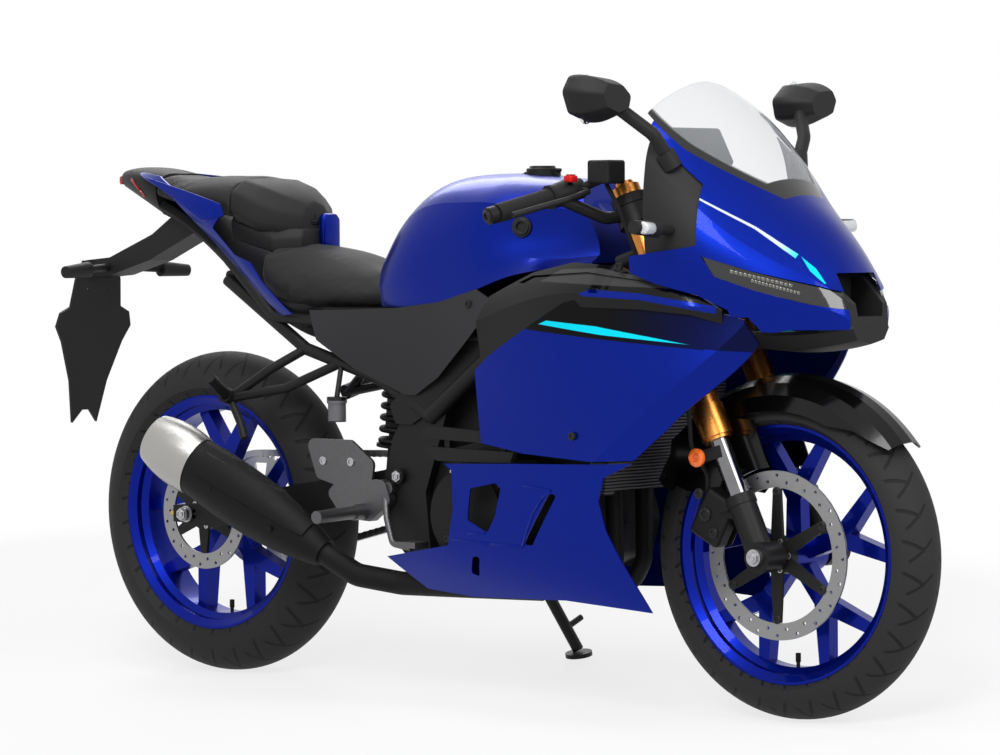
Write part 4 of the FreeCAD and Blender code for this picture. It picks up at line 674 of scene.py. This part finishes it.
def add_face(points):
    """One face with its corners at the points."""
    deselect()
    bpy.ops.mesh.primitive_circle_add(vertices=len(points), radius=1, fill_type="NGON")
    face = bpy.context.active_object
    for vertex, point in zip(face.data.vertices, points):
        vertex.co = point
    return face


def close_form(form):
    """Points all faces of a form in edit mode outwards and leaves edit mode."""
    bpy.ops.mesh.select_all(action="SELECT")
    bpy.ops.mesh.normals_make_consistent(inside=False)
    bpy.ops.object.mode_set(mode="OBJECT")
    return form


def thicken(points, depth, direction):
    """A closed slab from one outline of points, pushed out along a direction."""
    slab = add_face(points)
    bpy.ops.object.mode_set(mode="EDIT")
    bpy.ops.mesh.select_all(action="SELECT")
    step = Vector(direction).normalized() * depth
    bpy.ops.mesh.extrude_region_move(TRANSFORM_OT_translate={"value": step})
    return close_form(slab)


def soft_bar(start, end, height, depth, edge):
    """A bar with bevelled edges."""
    return bevel(set_scale(add_bar(start, end, height, depth)), edge)


def soft_round(start, end, radius, edge, segments=2, sides=24):
    """A cylinder with bevelled ends."""
    return bevel(add_round(start, end, radius, sides), edge, segments, ROUND_EDGE)


def trim_run(points, height, depth):
    """Thin bevelled strips along the runs between millimetre points, laid on a surface."""
    edge = min(height, depth) * 0.3
    ends = [mm(*point) for point in points]
    return [soft_bar(first, second, height, depth, edge) for first, second in zip(ends, ends[1:])]


def section_loft(stations):
    """A closed form through mirrored half sections, each an x with (y, z) points from the crown down."""
    rings = []
    for x, half in stations:
        right = [mm(x, -y, z) for y, z in half]
        left = [mm(x, y, z) for y, z in reversed(half) if y]
        rings.append(right + left)
    form = add_face(rings[0])
    bpy.ops.object.mode_set(mode="EDIT")
    bpy.ops.mesh.select_mode(type="FACE")
    bpy.ops.mesh.select_all(action="SELECT")
    for last, ring in zip(rings, rings[1:]):
        bpy.ops.mesh.extrude_region_move()
        mesh = bmesh.from_edit_mesh(form.data)
        face = next(face for face in mesh.faces if face.select)
        for vertex in face.verts:
            spot = min(range(len(ring)), key=lambda at: (last[at] - vertex.co).length)
            vertex.co = ring[spot]
        bmesh.update_edit_mesh(form.data)
    return close_form(form)


def dress_pad(pad, node):
    """Hides the CAD seat that a pad stands for, and gives the pad back."""
    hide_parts(node)
    return pad


def swell(seat):
    """Blows a seat cover up from inside, as a stiff cloth without weight, for a few frames."""
    cloth = seat.modifiers.new("cloth", "CLOTH")
    cloth.settings.use_pressure = True
    cloth.settings.uniform_pressure_force = 3.0
    cloth.settings.effector_weights.gravity = 0
    cloth.settings.mass = 0.5
    cloth.settings.tension_stiffness = 30
    cloth.settings.compression_stiffness = 30
    scene = bpy.context.scene
    for step in range(1, SWELL_FRAMES + 1):
        scene.frame_set(step)
    apply_modifiers(seat)
    scene.frame_set(1)


def soft_cover(node, name, voxel, reach, front=None):
    """A padded seat from its CAD block: cut off ahead of front, remeshed, swollen as cloth and smoothed."""
    seat = twin_of(NODES[node])
    seat.parent = None
    seat.matrix_world = Matrix.Identity(4)
    seat.name = name
    seat.data.name = name
    take(seat)
    bpy.ops.object.mode_set(mode="EDIT")
    bpy.ops.mesh.select_all(action="SELECT")
    bpy.ops.mesh.remove_doubles(threshold=0.00005)
    bpy.ops.mesh.normals_make_consistent(inside=False)
    if front:
        end = PARK @ Vector((front, 0, 0))
        bpy.ops.mesh.bisect(plane_co=end, plane_no=(1, 0, 0), use_fill=True, clear_outer=True)
    bpy.ops.object.mode_set(mode="OBJECT")
    remesh = seat.modifiers.new("cover", "REMESH")
    remesh.mode = "VOXEL"
    remesh.voxel_size = voxel
    apply_modifiers(seat)
    bpy.ops.object.mode_set(mode="EDIT")
    bpy.ops.mesh.select_all(action="SELECT")
    bpy.ops.transform.shrink_fatten(value=-0.003)
    bpy.ops.mesh.vertices_smooth(factor=0.5, repeat=6)
    bpy.ops.object.mode_set(mode="OBJECT")
    start = [vertex.co.copy() for vertex in seat.data.vertices]
    swell(seat)
    for vertex, was in zip(seat.data.vertices, start):
        moved = vertex.co - was
        if moved.length > reach:
            vertex.co = was + moved.normalized() * reach
    smooth = seat.modifiers.new("round", "SUBSURF")
    smooth.levels = 1
    smooth.render_levels = 1
    take(seat)
    apply_modifiers(seat)
    bpy.ops.object.shade_smooth()
    give_finish(seat, "seat")
    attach(seat, "chassis")
    return dress_pad(seat, node)


# Stage

FLOOR_SIZE = 60
LAMP_AIM = Vector((0.1, 0, 0.5))
CAMERA_PLACE = mm(5832.18, -6079.77, 883.12)
CAMERA_TURN = (40.199, -2.1125, -0.3077)  # yaw, pitch and roll in degrees
PHOTO_WIDTH, FOCAL_PIXELS = 1000, 4275.18
SENSOR_WIDTH = 36


def add_floor(settings):
    """A pale floor that keeps the shadow round the bike and is seen as white further away."""
    deselect()
    bpy.ops.mesh.primitive_plane_add(size=FLOOR_SIZE, location=(0, 0, 0))
    floor = bpy.context.active_object
    floor.name = "floor"
    f = Finish("studio_floor", roughness=0.7, specular_ior_level=0.1)
    tone = settings.floor_tone
    f.set(base_color=f.mix(f.noise(30, 3), [tone] * 3, [tone + 0.03] * 3))
    glow = f.node("ShaderNodeEmission", None, {"Color": (1, 1, 1), "Strength": 1.0})
    x, y, _ = f.axes()
    away = f.smooth(0.45 * (x * x) + 1.2 * (y * y), 0.25, 2.2)
    path = f.node("ShaderNodeLightPath").outputs
    seen = f.most(path["Is Camera Ray"], path["Is Glossy Ray"], path["Is Transmission Ray"])
    shown = seen * f.most(away, settings.floor_glow)
    mixed = f.node("ShaderNodeMixShader", None, {0: shown, 1: f.shader.outputs[0], 2: glow.outputs[0]})
    f.tree.links.new(mixed.outputs[0], f.tree.nodes["Material Output"].inputs[0])
    floor.data.materials.append(f.material)


def add_world(scene, settings):
    """Even room light, with a plain white backdrop for the camera, for glass and for reflections."""
    world = bpy.data.worlds.new("studio")
    scene.world = world
    world.use_nodes = True
    tree = world.node_tree
    room, plain = tree.nodes["Background"], tree.nodes.new("ShaderNodeBackground")
    for background, strength in ((room, settings.room_light), (plain, 1.0)):
        background.inputs["Color"].default_value = (1, 1, 1, 1)
        background.inputs["Strength"].default_value = strength
    path = tree.nodes.new("ShaderNodeLightPath")
    shown = path.outputs["Is Camera Ray"]
    for kind in ("Is Glossy Ray", "Is Transmission Ray"):
        either = tree.nodes.new("ShaderNodeMath")
        either.operation = "MAXIMUM"
        tree.links.new(shown, either.inputs[0])
        tree.links.new(path.outputs[kind], either.inputs[1])
        shown = either.outputs[0]
    mixed = tree.nodes.new("ShaderNodeMixShader")
    tree.links.new(shown, mixed.inputs[0])
    tree.links.new(room.outputs[0], mixed.inputs[1])
    tree.links.new(plain.outputs[0], mixed.inputs[2])
    tree.links.new(mixed.outputs[0], tree.nodes["World Output"].inputs[0])


def add_lamp(name, place, size, watts):
    """A rectangular lamp that faces the bike's middle."""
    deselect()
    bpy.ops.object.light_add(type="AREA", location=place)
    lamp = bpy.context.active_object
    lamp.name = name
    lamp.data.shape = "RECTANGLE"
    lamp.data.size, lamp.data.size_y = size
    lamp.data.energy = watts
    lamp.rotation_euler = (LAMP_AIM - Vector(place)).to_track_quat("-Z", "Y").to_euler()


def add_camera(scene):
    """The photograph's camera, found for the upright bike and leaned with it."""
    yaw, pitch, roll = (math.radians(angle) for angle in CAMERA_TURN)
    ahead = Vector((-math.sin(yaw) * math.cos(pitch), math.cos(yaw) * math.cos(pitch), math.sin(pitch)))
    right = Vector((math.cos(yaw), math.sin(yaw), 0))
    up = right.cross(ahead)
    level = right * math.cos(roll) + up * math.sin(roll)
    crown = up * math.cos(roll) - right * math.sin(roll)
    matrix = Matrix((level, crown, -ahead)).transposed().to_4x4()
    matrix.translation = CAMERA_PLACE
    deselect()
    bpy.ops.object.camera_add()
    camera = bpy.context.active_object
    camera.name = "photo_camera"
    camera.matrix_world = PARK @ matrix
    camera.data.sensor_width = SENSOR_WIDTH
    camera.data.lens = SENSOR_WIDTH * FOCAL_PIXELS / PHOTO_WIDTH
    camera.data.clip_end = 100
    scene.camera = camera


# Settings


class BikeStudioSettings(bpy.types.PropertyGroup):
    """Light and floor of the photograph's studio"""

    floor_tone: bpy.props.FloatProperty(
        name="Floor tone", description="How pale the studio floor is", default=0.80, min=0, max=1,
        subtype="FACTOR")
    floor_glow: bpy.props.FloatProperty(
        name="Floor glow", description="Share of plain white in the floor near the bike", default=0.78,
        min=0, max=1, subtype="FACTOR")
    room_light: bpy.props.FloatProperty(
        name="Room light", description="Strength of the even light from the room", default=0.13, min=0)
    key_power: bpy.props.FloatProperty(
        name="Key power", description="Power of the large lamp over the right side", default=190, min=0,
        unit="POWER")


class BikeFittingSettings(bpy.types.PropertyGroup):
    """Sizes of the small fittings"""

    bolt_radius: bpy.props.FloatProperty(
        name="Bolt radius", description="Head radius of the fairing and cover bolts", default=0.0055,
        min=0.001, unit="LENGTH")
    bobbin_radius: bpy.props.FloatProperty(
        name="Bobbin radius", description="Radius of the bobbins that carry the front disc", default=0.0085,
        min=0.001, unit="LENGTH")
    lamp_ribs: bpy.props.IntProperty(
        name="Lamp ribs", description="Lenses along each bar of the headlamps", default=14, min=2, max=40)
    link_pitch: bpy.props.FloatProperty(
        name="Chain pitch", description="Distance between the pins of the drive chain", default=0.015875,
        min=0.005, unit="LENGTH")
    seat_voxel: bpy.props.FloatProperty(
        name="Seat voxel", description="Cell size of the seat's remeshed cover", default=0.006, min=0.002,
        unit="LENGTH")


# Operators


class BIKE_OT_finishes(bpy.types.Operator):
    """Give every CAD node its procedural finish"""

    bl_idname = "bike.finishes"
    bl_label = "Finishes"

    def execute(self, context):
        make_finishes()
        missing = sorted(set(NODES) - set(NODE_FINISH))
        if missing:
            raise RuntimeError(f"no finish for {missing}")
        for name, obj in NODES.items():
            give_finish(obj, NODE_FINISH[name])
        return {"FINISHED"}


class BIKE_OT_seats(bpy.types.Operator):
    """Padded rider and pillion seats, in place of their CAD blocks"""

    bl_idname = "bike.seats"
    bl_label = "Seats"

    def execute(self, context):
        voxel = context.scene.bike_fittings.seat_voxel
        reach, fill, pad_start = 0.005, 0.85, 0.112
        soft_cover("rider_seat", "rider_seat_cover", voxel, reach)
        soft_cover("pillion_seat", "pillion_seat_cover", voxel, reach, pad_start)
        pad = section_loft([
            (112, [(0, 969), (76, 965), (113, 942), (115, 905), (100, 884), (0, 884)]),
            (165, [(0, 954), (70, 948), (106, 922), (104, 880), (92, 864), (0, 862)]),
            (200, [(0, 938), (54, 931), (82, 906), (82, 872), (72, 860), (0, 858)]),
            (233, [(0, 920), (24, 911), (36, 893), (34, 868), (28, 858), (0, 856)]),
        ])
        pad = bevel(pad, 0.006, 3, 25)
        dress_pad(settle(pad, "pillion_pad", "chassis", "seat", 50), "pillion_seat")
        return {"FINISHED"}


class BIKE_OT_pillion_trim(bpy.types.Operator):
    """Painted caps of the tail panels, the round plug of the pillion pad and the painted wall under it"""

    bl_idname = "bike.pillion_trim"
    bl_label = "Pillion trim"

    def execute(self, context):
        outline = [mm(-124, -106, 971), mm(20, -123, 938), mm(104, -131.5, 917), mm(117, -134.5, 893),
                   mm(60, -136, 884), mm(-20, -126, 924), mm(-100, -110, 958)]
        cap = bevel(thicken(outline, 0.0035, (0, -1, 0.25)), 0.0012)
        settle(mirror_pair(cap), "tail_panel_caps", "chassis", "panel")
        plug = (mm(229, -8, 889), (0.93, -0.25, 0.28), 0.014)
        scatter(unit_button(), [plug], "pillion_plug", "chassis", "satin_black")
        riser = section_loft([
            (96, [(0, 906), (86, 906), (98, 880), (96, 850), (0, 846)]),
            (190, [(0, 872), (74, 872), (84, 850), (80, 822), (0, 818)]),
            (240, [(0, 868), (42, 868), (50, 852), (48, 816), (0, 812)]),
        ])
        settle(bevel(riser, 0.005, 3, 25), "seat_riser", "chassis", "plastic")
        wall = [mm(240, -2, 828), mm(240, -2, 890), mm(240, 6, 898), mm(240, 36, 898), mm(240, 46, 888),
                mm(240, 46, 828)]
        wall = bevel(thicken(wall, 0.014, (1, 0, -0.1)), 0.004)
        settle(wall, "pillion_wall", "chassis", "panel")
        return {"FINISHED"}


class BIKE_OT_lamps(bpy.types.Operator):
    """Ribbed lamp bars, clear indicator lenses, fork reflectors with their brackets, and the tail lens"""

    bl_idname = "bike.lamps"
    bl_label = "Lamps"

    def execute(self, context):
        ribs = context.scene.bike_fittings.lamp_ribs
        gap = 0.08
        bars = []
        for start, end in (
            (mm(1364, -176, 792), mm(1460, -122, 766)),
            (mm(1398, -160, 776), mm(1472, -117, 753)),
        ):
            step = (end - start) / ribs
            for count in range(ribs):
                first = start + step * (count + gap)
                bars.append(soft_bar(first, first + step * (1 - 2 * gap), 0.006, 0.005, 0.0012))
        settle(mirror_pair(join(bars)), "lamp_bars", "chassis", "led")
        for name, start, end in (
            ("front_indicator_lenses", mm(1274, -278, 867), mm(1280, -312, 868)),
            ("rear_indicator_lenses", mm(-298, -128, 787), mm(-292, -162, 785)),
        ):
            lens = soft_round(start, end, 0.011, 0.004, 3)
            settle(mirror_pair(lens), name, "chassis", "clear")
        places = [(mm(1249, side * 121, 463), out, 0.0165) for side, out in ((-1, RIGHT), (1, LEFT))]
        scatter(unit_button(), places, "fork_reflectors", "fork", "amber")
        plates = [soft_bar(mm(1296, side * 112, 476), mm(1240, side * 118, 460), 0.022, 0.003, 0.001)
                  for side in (-1, 1)]
        settle(join(plates), "reflector_brackets", "fork", "satin_black")
        outline = [mm(-270.5, -30, 960), mm(-270.5, -30, 972), mm(-270.5, 30, 972), mm(-270.5, 30, 960)]
        lens = bevel(thicken(outline, 0.004, (-1, 0, 0)), 0.0015)
        settle(lens, "tail_lens", "chassis", "red")
        return {"FINISHED"}


class BIKE_OT_throttle_box(bpy.types.Operator):
    """Dark intake housing that shows between the frame beams above the engine"""

    bl_idname = "bike.throttle_box"
    bl_label = "Throttle box"

    def execute(self, context):
        housing = section_loft([
            (560, [(0, 668), (66, 664), (82, 640), (84, 520), (70, 470), (0, 462)]),
            (660, [(0, 690), (74, 686), (92, 655), (94, 500), (80, 450), (0, 440)]),
            (800, [(0, 700), (74, 694), (92, 660), (94, 500), (80, 450), (0, 440)]),
        ])
        housing = bevel(housing, 0.008, 3, 25)
        settle(housing, "throttle_box", "chassis", "cast_black")
        return {"FINISHED"}


class BIKE_OT_ridges(bpy.types.Operator):
    """Raised lines on the belly panels, plates behind their small slots, and the tail's red strips"""

    bl_idname = "bike.ridges"
    bl_label = "Ridges"

    def execute(self, context):
        runs = [
            [(754, -208, 303), (849, -213.5, 299), (928, -216.5, 297)],
            [(928, -216.5, 297), (944, -220.5, 330), (960, -223, 360), (981, -225, 386), (1003, -226, 401)],
            [(939, -225, 408), (1003, -226, 401)],
            [(797, -213, 315), (840, -216, 317)],
        ]
        bars = [bar for points in runs for bar in trim_run(points, 0.005, 0.004)]
        settle(mirror_pair(join(bars)), "belly_ridges", "chassis", "panel")
        back = soft_bar(mm(745, -172, 254), mm(828, -172, 254), 0.062, 0.003, 0.001)
        settle(mirror_pair(back), "belly_slot_backs", "chassis", "panel")
        strip = trim_run([(-204, -66, 968), (-179, -69, 946), (-168, -64, 932)], 0.004, 0.005)
        settle(mirror_pair(join(strip)), "tail_strips", "chassis", "red")
        return {"FINISHED"}


class BIKE_OT_bolts(bpy.types.Operator):
    """Bolts of covers, panels and discs, the front disc's bobbins, axle nuts and the caliper's covers"""

    bl_idname = "bike.bolts"
    bl_label = "Bolts"

    def execute(self, context):
        sizes = context.scene.bike_fittings
        small = sizes.bolt_radius
        places = ring_places(mm(760, 0, 345), 0.089, 9, -0.1605, RIGHT, small)
        places += ring_places(mm(850, 0, 335), 0.060, 6, 0.1715, LEFT, small)
        places += [(mm(*spot), RIGHT, small * 1.5) for spot in ((392, -157.5, 432), (462, -157.5, 432))]
        scatter(unit_bolt(), places, "cover_bolts", "chassis", "bolt")
        spots = ((1060, -236.5, 500), (860, -217.5, 520), (1150, -214, 800), (720, -181, 300),
                 (430, -125, 690), (760, -166, 730))
        places = [(mm(*spot), RIGHT, small * 1.3) for spot in spots]
        places += [(mm(x, -y, z), LEFT, small * 1.3) for x, y, z in spots]
        scatter(unit_bolt(), places, "panel_bolts", "chassis", "black_bolt")
        bobbins = ring_places(FRONT_AXLE, 0.112, 6, -0.0625, RIGHT, sizes.bobbin_radius, math.pi / 2)
        scatter(unit_button(), bobbins, "disc_bobbins", "front_wheel", "black_bolt")
        hub = ring_places(FRONT_AXLE, 0.026, 5, -0.0628, RIGHT, small)
        scatter(unit_bolt(), hub, "front_disc_bolts", "front_wheel", "bolt")
        hub = ring_places(REAR_AXLE, 0.027, 5, -0.0788, RIGHT, small)
        hub += ring_places(REAR_AXLE, 0.046, 6, 0.0902, LEFT, small)
        scatter(unit_bolt(), hub, "rear_disc_bolts", "rear_wheel", "bolt")
        ends = [(FRONT_AXLE + mm(0, -132.2, 0), RIGHT, 0.011), (FRONT_AXLE + mm(0, 130.2, 0), LEFT, 0.012)]
        scatter(unit_nut(), ends, "front_axle_ends", "fork", "bolt")
        ends = [(REAR_AXLE + mm(0, -139, 0), RIGHT, 0.012), (REAR_AXLE + mm(0, 139, 0), LEFT, 0.012),
                (mm(568, -148, 408), RIGHT, 0.011), (mm(568, 148, 408), LEFT, 0.011)]
        scatter(unit_nut(), ends, "rear_axle_ends", "chassis", "bolt")
        pins = [(mm(1236, -98.5, 398), RIGHT, 0.010), (mm(1268, -98.5, 330), RIGHT, 0.010),
                (mm(1250, -98.5, 362), RIGHT, 0.013)]
        scatter(unit_button(), pins, "caliper_covers", "fork", "black_bolt")
        return {"FINISHED"}


class BIKE_OT_chain_links(bpy.types.Operator):
    """Side plates and pins along both runs of the drive chain"""

    bl_idname = "bike.chain_links"
    bl_label = "Chain links"

    def execute(self, context):
        pitch = context.scene.bike_fittings.link_pitch
        front, rear = mm(650, 0, 405), REAR_AXLE
        front_radius, rear_radius = 0.0357, 0.1087
        inner_plate, outer_plate = 0.0800, 0.0940
        along = front - rear
        tilt = math.atan2(along.z, along.x)
        slope = math.asin((rear_radius - front_radius) / along.length)
        points = []
        for sign in (1, -1):
            normal = tilt + sign * (math.pi / 2 - slope)
            offset = Vector((math.cos(normal), 0, math.sin(normal)))
            start, end = rear + offset * rear_radius, front + offset * front_radius
            count = int((end - start).length / pitch)
            points += [(start.lerp(end, (step + 0.5) / count), end - start) for step in range(count)]
        pin = add_round(mm(0, -0.5, 0), mm(0, 0.5, 0), 0.0065, 12)
        plate = join([pin, bevel(set_scale(add_block((0, 0, 0), (pitch * 0.9, 0.0011, 0.0085))), 0.0003, 1)])
        set_place(plate)
        copies = []
        for point, run in points:
            for out in (inner_plate, outer_plate):
                twin = twin_of(plate)
                turn = Matrix.Rotation(-math.atan2(run.z, run.x), 4, "Y")
                twin.data.transform(Matrix.Translation(point + Vector((0, out, 0))) @ turn)
                copies.append(twin)
        bpy.data.objects.remove(plate)
        settle(join(copies), "chain_links", "chassis", "steel")
        return {"FINISHED"}


class BIKE_OT_controls(bpy.types.Operator):
    """Mirror glass, kill switch, gauge face, bar ends, the tank's round discs and the fuel cap's ring"""

    bl_idname = "bike.controls"
    bl_label = "Controls"

    def execute(self, context):
        glass = add_round(mm(1151, -304, 1092), mm(1148.5, -304, 1092), 0.045, 40)
        glass.scale = (0.60, 0.98, 1)
        glass = bevel(set_scale(glass), 0.0008, 2, ROUND_EDGE)
        settle(mirror_pair(glass), "mirror_glass", "chassis", "mirror")
        switch = bevel(set_scale(add_block(mm(1040, -212, 955), (0.018, 0.02, 0.012))), 0.003, 3)
        settle(step_top(switch, (0.004, -0.002)), "kill_switch", "fork", "scarlet")
        dash = bevel(set_scale(add_block((0, 0, 0), (0.0015, 0.116, 0.056))), 0.0005, 1)
        panel = Matrix.Translation(mm(1164, 0, 1004)) @ Matrix.Rotation(math.radians(-28), 4, "Y")
        dash.data.transform(panel @ Matrix.Translation(mm(-10.6, 0, 4)))
        settle(dash, "gauge_face", "chassis", "screen_face")
        ends = []
        for side in (-1, 1):
            grip_end = mm(978, side * 346, 893)
            direction = (grip_end - mm(1012, side * 226, 924)).normalized()
            ends.append((grip_end + direction * 0.016, direction, 0.0125))
        scatter(unit_button(), ends, "bar_ends", "fork", "black_bolt")
        discs = [(mm(860, side * 131.5, 870), (0.31, side * 0.95, 0), 0.019) for side in (-1, 1)]
        scatter(unit_button(), discs, "tank_discs", "chassis", "black_bolt")
        ring = [(mm(800, 0, 971), (0, 0, 1), 0.030)]
        scatter(unit_button(), ring, "fuel_cap_ring", "fuel_cap", "satin_black")
        return {"FINISHED"}


class BIKE_OT_wheel_trim(bpy.types.Operator):
    """Valve stems of the wheels and the tips of the swingarm's chain adjusters"""

    bl_idname = "bike.wheel_trim"
    bl_label = "Wheel trim"

    def execute(self, context):
        for end, centre in (("front", FRONT_AXLE), ("rear", REAR_AXLE)):
            foot = centre + mm(0, 0, -206)
            stem = join([add_round(foot, foot + mm(0, 0, 16), 0.0035, 16),
                         add_round(foot + mm(0, 0, 14), foot + mm(0, 0, 30), 0.0048, 16)])
            settle(bevel(stem, 0.0008, 2, ROUND_EDGE), f"{end}_valve", f"{end}_wheel", "rubber")
        tips = []
        for side in (-1, 1):
            start = REAR_AXLE + mm(-36, side * 112, 0)
            tips.append(soft_round(start, start + mm(-16, 0, 0), 0.006, 0.001, sides=20))
        settle(join(tips), "adjuster_tips", "chassis", "brass")
        return {"FINISHED"}


class BIKE_OT_stage(bpy.types.Operator):
    """Floor, soft studio lights and the photograph's camera"""

    bl_idname = "bike.stage"
    bl_label = "Stage"

    def execute(self, context):
        settings = context.scene.bike_studio
        add_floor(settings)
        add_world(context.scene, settings)
        add_lamp("key", (1.9, -3.7, 4.6), (2.6, 1.8), settings.key_power)
        add_lamp("nose", (5.0, -0.6, 3.0), (2.4, 2.6), 120)
        add_lamp("back", (-3.5, 3.5, 3.6), (3.0, 2.0), 90)
        add_lamp("top", (0.0, -0.4, 5.0), (3.6, 1.2), 90)
        add_camera(context.scene)
        context.scene.view_settings.view_transform = "Standard"
        return {"FINISHED"}


STEPS = [
    BIKE_OT_finishes, BIKE_OT_seats, BIKE_OT_pillion_trim, BIKE_OT_lamps, BIKE_OT_throttle_box,
    BIKE_OT_ridges, BIKE_OT_bolts, BIKE_OT_chain_links, BIKE_OT_controls, BIKE_OT_wheel_trim, BIKE_OT_stage,
]


class VIEW3D_PT_sport_bike(bpy.types.Panel):
    """The steps that dress the bike, and their settings"""

    bl_idname = "VIEW3D_PT_sport_bike"
    bl_label = "Sport Bike"
    bl_space_type = "VIEW_3D"
    bl_region_type = "UI"
    bl_category = "Sport Bike"

    def draw(self, context):
        for settings in (context.scene.bike_fittings, context.scene.bike_studio):
            for name in settings.bl_rna.properties.keys():
                if name not in ("rna_type", "name"):
                    self.layout.prop(settings, name)
        for step in STEPS:
            self.layout.operator(step.bl_idname)


CLASSES = [BikeStudioSettings, BikeFittingSettings, *STEPS, VIEW3D_PT_sport_bike]


def register():
    for cls in CLASSES:
        bpy.utils.register_class(cls)
    bpy.types.Scene.bike_studio = bpy.props.PointerProperty(type=BikeStudioSettings)
    bpy.types.Scene.bike_fittings = bpy.props.PointerProperty(type=BikeFittingSettings)


def unregister():
    del bpy.types.Scene.bike_fittings
    del bpy.types.Scene.bike_studio
    for cls in reversed(CLASSES):
        bpy.utils.unregister_class(cls)


def main():
    register()
    bpy.ops.bike.finishes()
    bpy.ops.bike.seats()
    bpy.ops.bike.pillion_trim()
    bpy.ops.bike.lamps()
    bpy.ops.bike.throttle_box()
    bpy.ops.bike.ridges()
    bpy.ops.bike.bolts()
    bpy.ops.bike.chain_links()
    bpy.ops.bike.controls()
    bpy.ops.bike.wheel_trim()
    bpy.ops.bike.stage()


if __name__ == "__main__":
    main()
